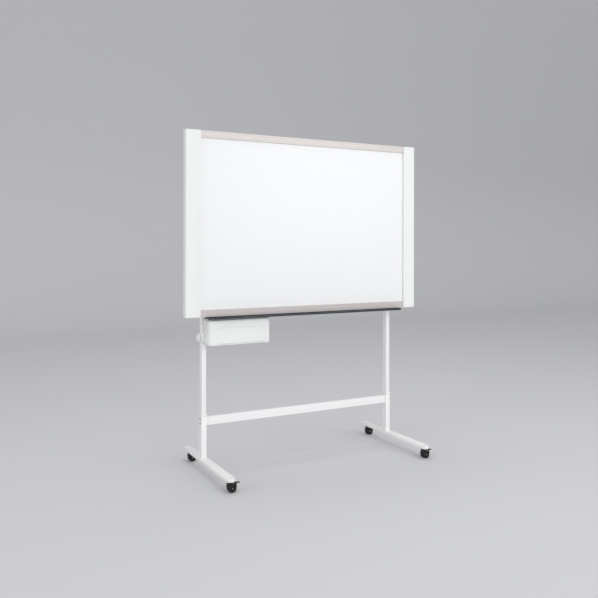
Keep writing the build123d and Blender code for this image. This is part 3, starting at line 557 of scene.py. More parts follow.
def makeRingTree():
    # repeats the piece round an axis through a centre
    tree, given = newTree("ringOfCopies", {
        "Piece": "Object", "Count": "Int", "Centre": "Vector", "Axis": "Vector"})
    line = putNode(tree, "GeometryNodeMeshLine", {"Count": given["Count"], "Offset": (0, 0, 0)})
    index = putNode(tree, "GeometryNodeInputIndex").outputs[0]
    share = addMath(tree, "DIVIDE", addMath(tree, "MULTIPLY", index, 2 * pi), given["Count"])
    turn = putNode(tree, "FunctionNodeAxisAngleToRotation", {"Axis": given["Axis"], "Angle": share})
    copies = copiesOn(tree, given, line.outputs[0], Rotation=turn.outputs[0])
    place = putNode(tree, "GeometryNodeTransform", {"Geometry": copies, "Translation": given["Centre"]})
    return endTree(tree, given, place.outputs[0])


def makePressedTree():
    # presses round-bottomed channels into a flat sheet that stands in the XZ plane
    tree, given = newTree("pressedChannels", {
        "Pitch": "Float", "Depth": "Float", "Half Width": "Float", "Half Height": "Float"})
    position = putNode(tree, "GeometryNodeInputPosition").outputs[0]
    place = putNode(tree, "ShaderNodeSeparateXYZ", {0: position}).outputs
    wrapped = addMath(tree, "PINGPONG", place["X"], given["Pitch"])
    across = addMath(tree, "DIVIDE", wrapped, given["Half Width"])
    hump = addMath(tree, "SUBTRACT", 1.0, addMath(tree, "MULTIPLY", across, across))
    along = addMath(tree, "SUBTRACT", given["Half Height"], addMath(tree, "ABSOLUTE", place["Z"]))
    ends = addMath(tree, "DIVIDE", along, given["Half Width"])
    least = addMath(tree, "MINIMUM", *(addMath(tree, "MAXIMUM", share, 0.0) for share in (hump, ends)))
    depth = addMath(tree, "MULTIPLY", addMath(tree, "MINIMUM", least, 1.0), given["Depth"])
    offset = putNode(tree, "ShaderNodeCombineXYZ", {"Y": addMath(tree, "MULTIPLY", depth, -1.0)})
    press = putNode(tree, "GeometryNodeSetPosition", {
        "Geometry": given["Geometry"], "Offset": offset.outputs[0]})
    return endTree(tree, given, press.outputs[0])


scatterTree = makeScatterTree()
lineTree = makeLineTree()
ringTree = makeRingTree()
pressedTree = makePressedTree()


def growPiece(name, tree, values, material, base=None):
    piece = base or newPiece(name, [(0, 0, 0)], [])
    modifier = piece.modifiers.new("growth", "NODES")
    modifier.node_group = tree
    sockets = {item.name: item.identifier for item in tree.interface.items_tree
               if item.in_out == "INPUT"}
    for label, value in dict(values, Material=materials[material]).items():
        modifier[sockets[label]] = value
    return plainMesh(piece)


def scatter(name, head, places, material, seed):
    # places holds point and facing pairs
    base = newPiece(name, [point for point, facing in places], [])
    facings = base.data.attributes.new("facing", "FLOAT_VECTOR", "POINT")
    facings.data.foreach_set("vector", [c for point, facing in places for c in facing])
    return growPiece(name, scatterTree, {"Piece": head, "Seed": seed}, material, base)


def repeat(name, tree, piece, count, values, material):
    # the piece itself goes once its copies are made
    grown = growPiece(name, tree, dict(values, Piece=piece, Count=count), material)
    bpy.data.objects.remove(piece)
    return grown


print("trees built")


# carried-over shapes with their edges eased: node, body, edge in millimetres
easedNodes = {
    "whitePowderCoat": {
        "left_foot": ("stand", 0.5), "right_foot": ("stand", 0.5), "left_lower_post": ("stand", 0.5),
        "right_lower_post": ("stand", 0.5), "crossbar": ("stand", 0.5), "crossbar_plugs": ("stand", 0.4),
        "left_upper_post": ("board", 0.5), "right_upper_post": ("board", 0.5),
        "rear_rails": ("board", 0.8), "post_brackets": ("board", 0.6)},
    "whiteMoulding": {
        "foot_end_caps": ("stand", 0.4), "post_collars": ("stand", 0.7), "upper_post_caps": ("board", 0.9),
        "printer_clamp": ("board", 0.9)},
    "greyMoulding": {
        "caster_sockets": ("stand", 0.4), "corner_blocks": ("board", 0.6), "control_bezel": ("board", 0.3)},
    "blackNylon": {
        "image_sensor": ("board", 0.6), "print_head": ("board", 0.5), "power_inlet": ("board", 0.3)},
    "zincPlate": {
        "drive_motor": ("board", 0.5), "printer_chassis": ("board", 0.4), "feed_motor": ("board", 0.6)},
    "rollerMetal": {"drive_roller": ("drive_roller", 0.4), "idler_roller": ("idler_roller", 0.4)},
    "ribbedCore": {"core_panel": ("board", 0.2)},
    "acetal": {
        "roller_bushes": ("board", 0.2), "drive_gear": ("drive_roller", 0.12),
        "motor_pinion": ("motor_pinion", 0.12), "feed_gear": ("platen", 0.12)},
    "platenRubber": {"platen_roller": ("platen", 0.4)},
    "thermalPaper": {"paper_roll": ("paper_roll", 0.3)},
}
for finishName, members in easedNodes.items():
    for member, (body, edge) in members.items():
        settle(softCopy(member, edge * mm), finishName, body, (member,))
print("eased shapes:", sum(len(members) for members in easedNodes.values()))


# the writing sheet and the circuit boards keep their own shape
for node, material in (("writing_sheet", "writingFilm"), ("circuit_boards", "solderMask")):
    nodes[node].data.materials.clear()
    nodes[node].data.materials.append(materials[material])


# side covers with the shut lines of their end caps
coverShape = {"edge": 0.9, "capHeight": 9.0, "lineWidth": 0.9, "lineDepth": 0.6, "lineMargin": 2.0,
              "frontCorner": 8.0, "rearCorner": 4.0, "innerCorner": 1.0}


def buildCover(node, side):
    c = inMetres(coverShape)
    low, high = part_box(node)
    cover = softCopy(node, c["edge"])
    front, rear, square = c["frontCorner"], c["rearCorner"], c["innerCorner"]
    radii = (square, front, rear, square) if side > 0 else (front, square, square, rear)
    outline = roundedRect(low.x, high.x, low.y, high.y, radii)
    half = c["lineWidth"] / 2
    cutters = []
    for z in (low.z + c["capHeight"], high.z - c["capHeight"]):
        band = roundedPrism("band", insetOutline(outline, -c["lineMargin"]), "z", z - half, z + half, 0)
        inner = insetOutline(outline, c["lineDepth"])
        core = roundedPrism("core", inner, "z", z - 3 * half, z + 3 * half, 0)
        cutters.append(cutAway(band, [core]))
    cutAway(cover, cutters)
    dropCrumbs(cover)
    settle(cover, "whiteMoulding", "board", (node,))


buildCover("left_side_cover", -1)
buildCover("right_side_cover", 1)


# rails with drawn grooves along the face
railShape = {"groove": 0.5, "grooveWidth": 1.4, "edge": 0.8, "bend": 0.24, "wall": 2.5, "sheetGap": 0.4,
             "backLip": 18.0, "grooves": (0.22, 0.78)}  # grooves are shares of the rail's height


def buildRail(node, upper):
    c = inMetres(railShape)
    low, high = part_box(node)
    wall, groove, edge, bend, lip = (c[key] for key in ("wall", "groove", "edge", "bend", "backLip"))
    half = c["grooveWidth"] / 2
    lift = high.z - low.z
    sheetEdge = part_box("writing_sheet")[0].y - c["sheetGap"]
    # profile in Y and Z above the board's outer edge, first up the face
    face = [(low.y + edge, 0.0), (low.y + bend, bend), (low.y, edge)]
    for share in railShape["grooves"]:
        middle = lift * share
        face += [(low.y, middle - half), (low.y + groove, middle - half / 2),
                 (low.y + groove, middle + half / 2), (low.y, middle + half)]
    face += [(low.y, lift - edge), (low.y + bend, lift - bend), (low.y + edge, lift)]
    face += [(sheetEdge, lift), (sheetEdge, lift - wall), (low.y + wall, lift - wall),
             (low.y + wall, wall), (high.y - wall, wall), (high.y - wall, lip), (high.y, lip), (high.y, 0.0)]
    base, way = (high.z, -1) if upper else (low.z, 1)
    rings = [[(x, y, base + way * z) for y, z in face] for x in (low.x, high.x)]
    settle(loft(node.replace("_", "-") + "-extrusion", rings), "silverRail", "board", (node,), sharp=20)


buildRail("top_rail", True)
buildRail("bottom_rail", False)


# pen tray: glossy trough with a rolled lip and a ribbed floor
trayShape = {"corner": 25.0, "backCorner": 0.5, "wall": 2.0, "lip": 1.1, "footEdge": 1.5, "fillet": 3.0,
             "trough": 41.0, "lipDrop": 1.0, "ribs": 7, "ribHeight": 0.7, "ribWidth": 1.6, "ribSink": 0.3,
             "ribRound": 0.35, "ribEnd": 0.2, "ribFront": 8.0, "ribBack": 6.0, "seam": 0.05, "rearEdge": 0.8}


def buildTray():
    c = inMetres(trayShape)
    low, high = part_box("pen_tray")
    wall, lip, corner, foot, fillet = (c[key] for key in ("wall", "lip", "corner", "footEdge", "fillet"))
    back, top = low.y + c["trough"], high.z - c["lipDrop"]
    outline = roundedRect(low.x, high.x, low.y, back, (corner, corner, c["backCorner"], c["backCorner"]), 14)
    # the wall's section: round its foot, over the lip and down to the floor inside
    section = arcPoints(foot, low.z + foot, foot, 270, 180, 4)
    section += arcPoints(lip, top - lip, lip, 180, 0, 8)
    section.append((wall, top - 2 * lip))
    section += arcPoints(wall + fillet, low.z + wall + fillet, fillet, 180, 270, 4)
    trough = loft("tray-trough", [[(u, v, z) for u, v in insetOutline(outline, inset)]
                                  for inset, z in section])
    ribOutline = roundedRect(-c["ribWidth"] / 2, c["ribWidth"] / 2, -c["ribSink"], c["ribHeight"],
                             c["ribRound"], 4)
    rib = roundedPrism("trayRib", ribOutline, "x", low.x + corner, high.x - corner, c["ribEnd"])
    step = (back - low.y - c["ribFront"] - c["ribBack"]) / (trayShape["ribs"] - 1)
    ribs = repeat("tray-ribs", lineTree, rib, trayShape["ribs"], {
        "Start": (0, low.y + c["ribFront"], low.z + wall), "Step": (0, step, 0)}, "trayGloss")
    rear = block("tray-rear-housing", low.x, high.x, back + c["seam"], high.y, low.z, top)
    for piece in (trough, ribs, bevel(rear, c["rearEdge"])):
        settle(piece, "trayGloss", "board", ("pen_tray",))


buildTray()
print("rails and tray built")


# screws: socket bolts and cross-recessed small screws
screwShape = {"boltRadius": 5.0, "boltHeight": 4.0, "boltEdge": 0.5, "hexAcross": 4.0, "hexDepth": 2.4,
              "cutTop": 10.0, "smallRadius": 3.0, "trayRadius": 3.5, "smallHeight": 1.8, "crossWidth": 0.8,
              "domeSteps": 6}
# shares of a small screw's height, and of its radius for the length of the cross
crossShares = {"rim": 0.45, "floor": 0.35, "reach": 0.55}
# how far each screw stands from the edges of the piece that it holds
screwPlaces = {"barRise": 12.0, "barEnd": 15.0, "railEnd": 20.0, "coverEnd": 10.25, "coverNear": 14.0,
               "coverFar": 56.0, "armOut": 5.0, "armBack": 36.0, "armRise": 13.0, "trayBack": 10.0,
               "trayNear": 200.0, "trayFar": 560.0}


def boltHead(name):
    c = inMetres(screwShape)
    head = spun(name, softEnd(c["boltRadius"], 0, c["boltHeight"], c["boltEdge"]), "z", (0, 0), 40)
    corner, floor = c["hexAcross"] / sqrt(3), c["boltHeight"] - c["hexDepth"]
    profile = [(0, c["cutTop"]), (corner, c["cutTop"]), (corner, floor), (0, floor)]
    return cutAway(head, [spun("hexSocket", profile, "z", (0, 0), 6)])


def crossHead(name, radius):
    c = inMetres(screwShape)
    height, rim, steps = c["smallHeight"], crossShares["rim"], screwShape["domeSteps"]
    turns = [radians(90 * i / steps) for i in range(steps + 1)]
    dome = [(radius * sin(a), height * (rim + (1 - rim) * cos(a))) for a in turns]
    head = spun(name, [(0, 0), (radius, 0)] + dome[::-1], "z", (0, 0), 32)
    half, reach, floor = c["crossWidth"] / 2, radius * crossShares["reach"], height * crossShares["floor"]
    arms = [block("crossArm", -half, half, -reach, reach, floor, height * 2),
            block("crossArm", -reach, reach, -half, half, floor, height * 2)]
    return cutAway(head, arms)


def buildScrews():
    p = inMetres(screwPlaces)
    bolt = boltHead("bolt")
    small = crossHead("small", screwShape["smallRadius"] * mm)
    tray = crossHead("trayHead", screwShape["trayRadius"] * mm)
    post, bar, rails = span("left_lower_post"), span("crossbar"), span("rear_rails")
    screws = []
    for side in (-1, 1):
        for rise in (-p["barRise"], p["barRise"]):
            screws.append(((side * abs(post[0].x), post[2].y, bar[2].z + rise), (side, 0, 0)))
        screws.append(((side * (bar[1].x - p["barEnd"]), post[2].y, bar[0].z), (0, 0, -1)))
    standHeads = scatter("stand-bolt-heads", bolt, screws, "zincPlate", 3)
    settle(standHeads, "zincPlate", "stand", ("stand_screws",))
    upper = span("right_upper_post")
    bolts = [((side * upper[2].x, upper[1].y, z), (0, 1, 0)) for side in (-1, 1)
             for z in (rails[0].z + p["railEnd"], rails[1].z - p["railEnd"])]
    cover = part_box("right_side_cover")
    smalls = [((side * (cover[0].x + reach), cover[1].y, z), (0, 1, 0))
              for side in (-1, 1) for reach in (p["coverNear"], p["coverFar"])
              for z in (cover[0].z + p["coverEnd"], cover[1].z - p["coverEnd"])]
    case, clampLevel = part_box("printer_case"), span("printer_clamp")[2].z
    smalls += [((case[0].x - p["armOut"], case[0].y + p["armBack"], clampLevel + rise), (-1, 0, 0))
               for rise in (-p["armRise"], p["armRise"])]
    trays = [((side * reach, -p["trayBack"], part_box("pen_tray")[0].z), (0, 0, -1))
             for side in (-1, 1) for reach in (p["trayNear"], p["trayFar"])]
    pieces = [scatter("a", bolt, bolts, "zincPlate", 5), scatter("b", small, smalls, "zincPlate", 7),
              scatter("c", tray, trays, "zincPlate", 9)]
    settle(joinPieces("board-screw-heads", pieces), "zincPlate", "board", ("board_screws",))
    for head in (bolt, small, tray):
        bpy.data.objects.remove(head)


buildScrews()
print("screws placed")


# back panel with pressed channels
backShape = {"pitch": 82.0, "depth": 2.4, "halfWidth": 11.0, "inset": 60.0, "columns": 360, "rows": 60}


def buildBackPanel():
    c = inMetres(backShape)
    low, high, middle = span("back_panel")
    columns, rows = backShape["columns"], backShape["rows"]
    wide, tall = high.x - low.x, high.z - low.z
    points = [(low.x + wide * i / columns, high.y, low.z - middle.z + tall * j / rows)
              for j in range(rows + 1) for i in range(columns + 1)]
    across = columns + 1
    faces = [(j * across + i, (j + 1) * across + i, (j + 1) * across + i + 1, j * across + i + 1)
             for j in range(rows) for i in range(columns)]
    sheet = newPiece("back-panel-pressing", points, faces)
    values = {"Pitch": c["pitch"], "Depth": c["depth"], "Half Width": c["halfWidth"],
              "Half Height": tall / 2 - c["inset"]}
    growPiece("back-panel-pressing", pressedTree, values, "whitePowderCoat", sheet)
    sheet.data.transform(Matrix.Translation((0, 0, middle.z)))
    solid = sheet.modifiers.new("metal", "SOLIDIFY")
    solid.thickness = high.y - low.y
    solid.offset = -1
    settle(sheet, "whitePowderCoat", "board", ("back_panel",))


buildBackPanel()


# plastic plugs in the ends of the rear tubes
plugShape = {"thickness": 2.5, "corner": 2.0, "edge": 0.8, "height": 40.0}


def buildTubePlugs():
    c = inMetres(plugShape)
    low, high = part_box("rear_rails")
    plugs = []
    for z in (low.z, high.z - c["height"]):
        outline = roundedRect(low.y, high.y, z, z + c["height"], c["corner"], 5)
        plugs.append(roundedPrism("plug", outline, "x", low.x - c["thickness"], low.x, c["edge"], 0))
        plugs.append(roundedPrism("plug", outline, "x", high.x, high.x + c["thickness"], 0, c["edge"]))
    settle(joinPieces("rear-tube-plugs", plugs), "greyMoulding", "board")


buildTubePlugs()
print("back panel pressed")


# printer: vented case, door with a finger ledge, and rubber feet
printerShape = {"edge": 0.6, "vents": 9, "ventPitch": 6.5, "ventWidth": 2.6, "ventHeight": 34.0,
                "ventRound": 1.274, "ventReach": 6.0, "ventFront": 22.0, "ventDrop": 30.0,
                "ledgeWidth": 46.0, "ledgeTop": 6.0, "ledgeFoot": 11.0, "ledgeCorner": 2.4,
                "ledgeProud": 2.0, "ledgeSink": 0.4, "ledgeEdge": 1.0, "footRadius": 5.0,
                "footHeight": 1.6, "footSink": 0.1, "footEdge": 0.6, "footFront": 20.0,
                "footPitch": 40.0, "footInset": 30.0, "footRows": 2}


def buildPrinter():
    c = inMetres(printerShape)
    low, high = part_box("printer_case")
    case = plainMesh(softCopy("printer_case", c["edge"], "printer-case-shell"))
    width, tall, reach = c["ventWidth"], c["ventHeight"], c["ventReach"]
    outline = roundedRect(-width / 2, width / 2, -tall / 2, tall / 2, c["ventRound"], 6)
    vents = repeat("vents", lineTree, roundedPrism("slot", outline, "x", -reach, reach, 0),
                   printerShape["vents"], {
                       "Start": (high.x, low.y + c["ventFront"], high.z - c["ventDrop"]),
                       "Step": (0, c["ventPitch"], 0)}, "whiteMoulding")
    settle(cutAway(case, [vents]), "whiteMoulding", "board", ("printer_case",))
    doorLow, doorHigh, middle = span("printer_door")
    door = softCopy("printer_door", c["edge"])
    half = c["ledgeWidth"] / 2
    outline = roundedRect(middle.x - half, middle.x + half, doorHigh.z - c["ledgeFoot"],
                          doorHigh.z - c["ledgeTop"], c["ledgeCorner"], 6)
    ledge = roundedPrism("ledge", outline, "y", doorLow.y - c["ledgeProud"], doorLow.y + c["ledgeSink"],
                         c["ledgeEdge"], 0)
    settle(joinPieces("printer-door-front", [door, ledge]), "whiteMoulding", "printer_door",
           ("printer_door",))
    profile = softEnd(c["footRadius"], low.z - c["footHeight"], low.z + c["footSink"], c["footEdge"])
    foot = spun("foot", profile, "z", (0, low.y + c["footFront"]), 32)
    ends = {"Start": (low.x + c["footInset"], 0, 0), "Step": (high.x - low.x - 2 * c["footInset"], 0, 0)}
    feet = [repeat(f"row{row}", lineTree, movedCopy(foot, "foot", (0, row * c["footPitch"], 0)), 2, ends,
                   "treadRubber") for row in range(printerShape["footRows"])]
    bpy.data.objects.remove(foot)
    settle(joinPieces("printer-rubber-feet", feet), "treadRubber", "board")


buildPrinter()


# card tube at both ends of the paper roll
paperShape = {"width": 216.0, "outer": 9.0, "inner": 5.1, "proud": 0.5, "sink": 1.0}


def buildPaperCore():
    c = inMetres(paperShape)
    middle = span("paper_roll")[2]
    ends = []
    for side in (-1, 1):
        face = middle.x + side * c["width"] / 2
        inside, outside = face - side * c["sink"], face + side * c["proud"]
        profile = [(c["inner"], inside), (c["outer"], inside), (c["outer"], outside), (c["inner"], outside)]
        ends.append(spun("card", profile, "x", (middle.y, middle.z), 48, True))
    settle(joinPieces("paper-card-tube", ends), "brownCard", "paper_roll")


buildPaperCore()
print("printer built")


# clamp knob: scalloped grip with a sunken face and a domed boss
knobShape = {"scallops": 12, "depth": 1.5, "edge": 2.2, "recess": 1.4, "bore": 12.0, "boss": 6.0,
             "thickness": 13.0, "steps": 144, "screw": 4.0, "screwEdge": 0.4,
             "dome": ((0, 0.2), (0.6, 0.3), (0.9, 0.7)),        # share of the boss, depth below the face
             "boreRim": ((0.5, 0.1), (1.0, 0.0)),               # beyond the bore, depth below the face
             "backRim": ((0.0, 1.0), (0.3, 0.3), (1.0, 0.0))}   # inset, distance from the back


def buildKnob():
    c = inMetres(knobShape)
    low, high, middle = span("clamp_knob")
    radius = (high.z - low.z) / 2
    turns = [2 * pi * i / knobShape["steps"] for i in range(knobShape["steps"])]
    dips = [max(0.0, cos(knobShape["scallops"] * a)) ** 2 * c["depth"] for a in turns]
    face, back = low.x, low.x + c["thickness"]

    def ring(inset, t):
        return [(t, middle.y + (radius - dip - inset) * cos(a), middle.z + (radius - dip - inset) * sin(a))
                for a, dip in zip(turns, dips)]

    def circle(size, t):
        return [(t, middle.y + size * cos(a), middle.z + size * sin(a)) for a in turns]

    rings = [circle(c["boss"] * share, face + depth * mm) for share, depth in knobShape["dome"]]
    rings += [circle(c["boss"], face + c["recess"]), circle(c["bore"], face + c["recess"])]
    rings += [circle(c["bore"] + more * mm, face + depth * mm) for more, depth in knobShape["boreRim"]]
    rings += [ring(inset, t) for inset, t in arcPoints(c["edge"], face + c["edge"], c["edge"], 270, 180, 5)]
    rings += [ring(inset * mm, back - depth * mm) for inset, depth in knobShape["backRim"]]
    rings.append(circle(0, back))
    settle(loft("clamp-knob-grip", rings, caps=False), "whiteMoulding", "clamp_knob", ("clamp_knob",))
    shank = spun("clamp-knob-screw", softEnd(c["screw"], back, high.x, c["screwEdge"]), "x",
                 (middle.y, middle.z))
    settle(shank, "zincPlate", "clamp_knob", ("clamp_knob",))


buildKnob()


# casters: hooded fork, ribbed wheels with rubber treads, brake levers
casterShape = {"radius": 21.0, "rim": 17.6, "hub": 6.0, "near": 3.3, "far": 16.3, "dish": 3.4, "edge": 1.6,
               "axle": 2.5, "axleShort": 0.4, "axleEdge": 0.6, "forkEdge": 0.7, "ribs": 8, "ribHalf": 0.7,
               "ribSink": 0.5, "ribDrop": 1.0, "ribRimGap": 2.0}
# each pair is a radius and a distance in from the wheel's side face, as a share of the edge:
# radii are measured from the tread's radius, the rim or the hub
wheelProfiles = {"tread": ((-1.4, 0.3), (-0.4, 1.0), (0.0, 2.2)),
                 "rim": ((-0.05, 0.5), (-1.2, 0.2), (-2.2, 0.8)), "rimFoot": (-2.6, 0.8),
                 "hub": ((0.0, 0.8), (-0.8, 0.3))}


def buildWheels(casterName, axle):
    # one wheel's parts each side of the web, turned about the axle
    c = inMetres(casterShape)
    centre = (axle.x, axle.z)
    treads, discs = [], []
    for way in (-1, 1):
        near, far = axle.y + way * c["near"], axle.y + way * c["far"]
        edge = c["edge"] * way
        nearSide = [(c["radius"] + out * mm, near + edge * share) for out, share in wheelProfiles["tread"]]
        farSide = [(c["radius"] + out * mm, far - edge * share) for out, share in wheelProfiles["tread"]]
        rimShare = wheelProfiles["tread"][0][1]
        tread = [(c["rim"], near + edge * rimShare)] + nearSide + farSide[::-1]
        tread.append((c["rim"], far - edge * rimShare))
        treads.append(spun("tread", tread, "y", centre, 72, True))
        floor = far - way * c["dish"]
        rimFoot, hubFoot = wheelProfiles["rimFoot"]
        disc = [(c["axle"], near), (c["rim"] + wheelProfiles["rim"][0][0] * mm, near)]
        disc += [(c["rim"] + out * mm, far - edge * share) for out, share in wheelProfiles["rim"]]
        disc += [(c["rim"] + rimFoot * mm, floor), (c["hub"] + hubFoot * mm, floor)]
        disc += [(c["hub"] + out * mm, far - edge * share) for out, share in wheelProfiles["hub"]]
        disc.append((c["axle"], far - edge * wheelProfiles["hub"][-1][1]))
        discs.append(spun("disc", disc, "y", centre, 72, True))
        inner, outer = sorted((floor - way * c["ribSink"], far - way * c["ribDrop"]))
        rib = block("rib", c["hub"] - c["ribSink"], c["rim"] - c["ribRimGap"], inner, outer, -c["ribHalf"],
                    c["ribHalf"])
        discs.append(repeat("ribs", ringTree, rib, casterShape["ribs"], {
            "Centre": (axle.x, 0, axle.z), "Axis": (0, 1, 0)}, "blackNylon"))
    wheels = casterName + "_wheels"
    settle(joinPieces(f"{casterName}-treads", treads), "treadRubber", wheels, (wheels,), sharp=50)
    settle(joinPieces(f"{casterName}-wheel-discs", discs), "blackNylon", wheels, (wheels,))
    reach = c["far"] - c["axleShort"]
    pin = spun(f"{casterName}-axle", softEnd(c["axle"], axle.y - reach, axle.y + reach, c["axleEdge"]), "y",
               centre)
    settle(pin, "zincPlate", wheels, (wheels,))


leverShape = {"edge": 0.6, "ridges": 5, "ridgePitch": 2.2, "ridgeStart": 12.0, "ridgeWidth": 1.0,
              "ridgeHalf": 5.5, "ridgeRound": 0.45, "ridgeSink": 0.6, "ridgeEdge": 0.2, "ridgeProud": 0.25}


def buildLever(casterName):
    c = inMetres(leverShape)
    node = casterName + "_brake_lever"
    high, middle = span(node)[1:]
    lever = softCopy(node, c["edge"])
    # the ridges take up the height by which the pad is lowered
    lever.data.transform(Matrix.Translation((0, 0, -c["ridgeProud"])))
    outline = roundedRect(-c["ridgeWidth"] / 2, c["ridgeWidth"] / 2, -c["ridgeHalf"], c["ridgeHalf"],
                          c["ridgeRound"], 3)
    ridge = roundedPrism("ridge", outline, "z", high.z - c["ridgeProud"] - c["ridgeSink"], high.z, 0,
                         c["ridgeEdge"])
    ridges = repeat("ridges", lineTree, ridge, leverShape["ridges"], {
        "Start": (high.x - c["ridgeStart"], middle.y, 0), "Step": (c["ridgePitch"], 0, 0)},
        "darkGreyMoulding")
    settle(joinPieces(f"{casterName}-brake-lever", [lever, ridges]), "darkGreyMoulding",
           casterName + "_brake", (node,))


for casterName in ("front_left", "front_right", "rear_left", "rear_right"):
    buildWheels(casterName, span(casterName + "_wheels")[2])
    fork = casterName + "_caster_fork"
    settle(softCopy(fork, casterShape["forkEdge"] * mm), "blackNylon", casterName + "_caster", (fork,))
    if casterName.startswith("front"):
        buildLever(casterName)
print("casters built")


# buttons with plain symbols
buttonShape = {"radius": 4.3, "dish": 0.35, "symbolHeight": 0.22, "symbol": 2.0, "symbolSink": 0.1,
               "symbolEdge": 0.05, "flange": 1.5, "flangeBack": 6.0, "flangeFront": 4.8, "flangeEdge": 0.1,
               "rim": ((0.0, 0.8), (0.2, 0.3), (0.6, 0.0)),  # inset, depth below the face
               "bowl": ((1.1, 4 / 5), (1.8, 1))}             # inset, share of the dish's depth


def symbolPoints(kind, size):
    if kind == "square":
        half = size * 0.75
        return [(-half, -half), (half, -half), (half, half), (-half, half)]
    if kind == "circle":
        return arcPoints(0, 0, size, 0, 345, 23)
    turn = {"right": 0, "left": 180}[kind]
    return arcPoints(0, 0, size, turn, turn + 240, 2)


def buildButtons():
    c = inMetres(buttonShape)
    radius, dish = c["radius"], c["dish"]
    for index, kind in enumerate(("left", "right", "circle", "square")):
        node = f"button_{index + 1}"
        low, high, middle = span(node)
        centre, face = (middle.y, middle.z), high.x
        profile = [(0, low.x), (radius, low.x)]
        profile += [(radius - inset * mm, face - depth * mm) for inset, depth in buttonShape["rim"]]
        profile += [(radius - inset * mm, face - dish * share) for inset, share in buttonShape["bowl"]]
        profile.append((0, face - dish))
        key = spun("key", profile, "x", centre)
        rod = softEnd(radius + c["flange"], face - c["flangeBack"], face - c["flangeFront"], c["flangeEdge"])
        flange = spun("flange", rod, "x", centre)
        settle(joinPieces(f"button-{index + 1}-key", [key, flange]), "greyMoulding", node, (node,))
        outline = [(centre[0] + u, centre[1] + v) for u, v in symbolPoints(kind, c["symbol"])]
        sign = roundedPrism(f"button-{index + 1}-symbol", outline, "x", face - dish - c["symbolSink"],
                            face - dish + c["symbolHeight"], 0, c["symbolEdge"])
        settle(sign, "whiteMoulding", node, (node,))


# power rocker with its marks, a bar for on and a ring for off
rockerShape = {"edge": 0.4, "sink": 0.2, "barHalf": 0.3, "barFoot": 2.6, "barTop": 5.4, "barRound": 0.25,
               "ringDrop": 4.0, "ringInner": 1.0, "ringOuter": 1.5, "markDepth": 0.6}


def buildRocker():
    c = inMetres(rockerShape)
    high, middle = span("power_rocker")[1:]
    rocker = softCopy("power_rocker", c["edge"])
    rocker.data.transform(Matrix.Translation((-c["sink"], 0, 0)))
    y, z, foot = middle.y, middle.z, high.x - c["markDepth"]
    outline = roundedRect(y - c["barHalf"], y + c["barHalf"], z + c["barFoot"], z + c["barTop"],
                          c["barRound"], 3)
    bar = roundedPrism("rocker-on-mark", outline, "x", foot, high.x, 0)
    profile = [(c["ringInner"], foot), (c["ringOuter"], foot), (c["ringOuter"], high.x),
               (c["ringInner"], high.x)]
    ring = spun("rocker-off-mark", profile, "x", (y, z - c["ringDrop"]), 32, True)
    settle(rocker, "blackNylon", "power_rocker", ("power_rocker",))
    settle(joinPieces("rocker-marks", [bar, ring]), "whiteMoulding", "power_rocker", ("power_rocker",))


buildButtons()
buildRocker()
print("controls built")


# small parts set out along the main circuit board
boardShape = {"rows": 16, "width": 2.4, "length": 3.84, "height": 1.0, "corner": 0.3, "edge": 0.15,
              "margin": 8.0, "reach": 11.5, "behindCover": 8.5, "bottom": 1014.0, "top": 1200.0}


def buildBoardParts():
    c = inMetres(boardShape)
    face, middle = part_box("right_side_cover")[1].x - c["behindCover"], span("circuit_boards")[2].y
    outline = roundedRect(-c["width"] / 2, c["width"] / 2, -c["length"] / 2, c["length"] / 2, c["corner"], 3)
    chip = roundedPrism("chip", outline, "z", 0, c["height"], 0, c["edge"])
    start = c["bottom"] + c["margin"]
    pitch = (c["top"] - c["bottom"] - 2 * c["margin"]) / (boardShape["rows"] - 1)
    places = [((face, middle + side * c["reach"], start + row * pitch), (-1, 0, 0))
              for row in range(boardShape["rows"]) for side in (-1, 1)]
    chips = scatter("main-board-chips", chip, places, "chipBlack", 21)
    bpy.data.objects.remove(chip)
    settle(chips, "chipBlack", "board")


buildBoardParts()
print("board parts set out")


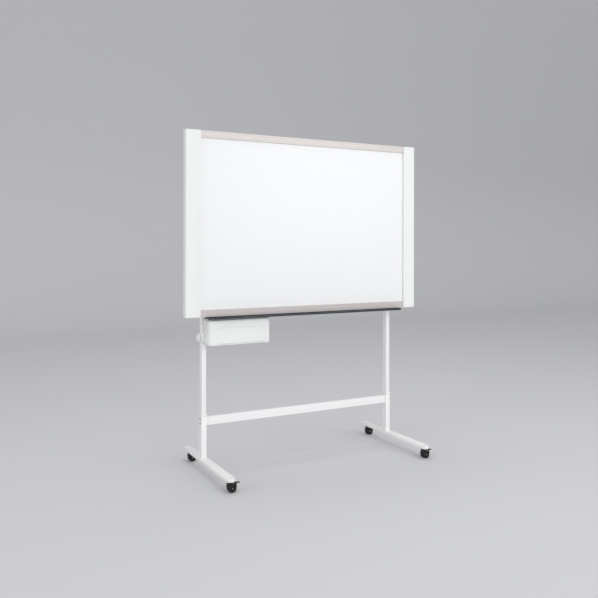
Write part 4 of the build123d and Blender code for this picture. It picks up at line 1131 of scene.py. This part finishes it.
# floor, backdrop and light: each lamp has its place, aim and size in metres, and its watts
studio = {
    "floor": (0.66, 0.66, 0.67),
    "floorFinish": {"Roughness": 0.85, "Specular IOR Level": 0.2},
    "sweep": {"near": -40.0, "far": 9.0, "rise": 25.0, "curve": 3.0, "side": 40.0},
    "worldColour": (0.97, 0.98, 1.0),
    "worldStrength": 0.68,
    "lamps": {
        "keyLamp": ((3.2, -5.6, 2.6), (0.0, 0.0, 1.0), 3.0, 84.0),
        "frontLamp": ((-1.0, -8.0, 2.7), (0.0, 0.0, 0.7), 4.0, 120.0),
        "topLamp": ((0.0, 0.6, 5.6), (0.0, 0.0, 0.0), 4.0, 62.0),
        "leftLamp": ((-6.5, -2.0, 2.6), (0.0, 0.0, 1.0), 3.0, 55.0),
    },
}


def addStudio(values):
    scene = bpy.context.scene
    near, far, rise, curve, side = values["sweep"].values()
    profile = [(near, 0.0), (far - curve, 0.0)] + arcPoints(far - curve, curve, curve, -90, 0, 16)[1:]
    profile.append((far, rise))
    points = [(x, y, z) for y, z in profile for x in (-side, side)]
    faces = [(2 * i, 2 * i + 1, 2 * i + 3, 2 * i + 2) for i in range(len(profile) - 1)]
    sweep = newPiece("studioFloor", points, faces)
    sweep.data.polygons.foreach_set("use_smooth", [True] * len(faces))
    material, tree, shader = newMaterial("paleFloor", values["floorFinish"])
    shader["Base Color"].default_value = values["floor"] + (1.0,)
    sweep.data.materials.append(material)
    for name, (place, aim, size, power) in values["lamps"].items():
        lamp = bpy.data.lights.new(name, "AREA")
        lamp.size = size
        lamp.energy = power
        thing = bpy.data.objects.new(name, lamp)
        thing.location = place
        thing.rotation_euler = (Vector(place) - Vector(aim)).to_track_quat("Z", "Y").to_euler()
        scene.collection.objects.link(thing)
    world = bpy.data.worlds.new("softRoom")
    world.use_nodes = True
    back = world.node_tree.nodes["Background"]
    back.inputs["Color"].default_value = values["worldColour"] + (1.0,)
    back.inputs["Strength"].default_value = values["worldStrength"]
    scene.world = world
    scene.view_settings.view_transform = "Standard"


addStudio(studio)
print("studio ready")
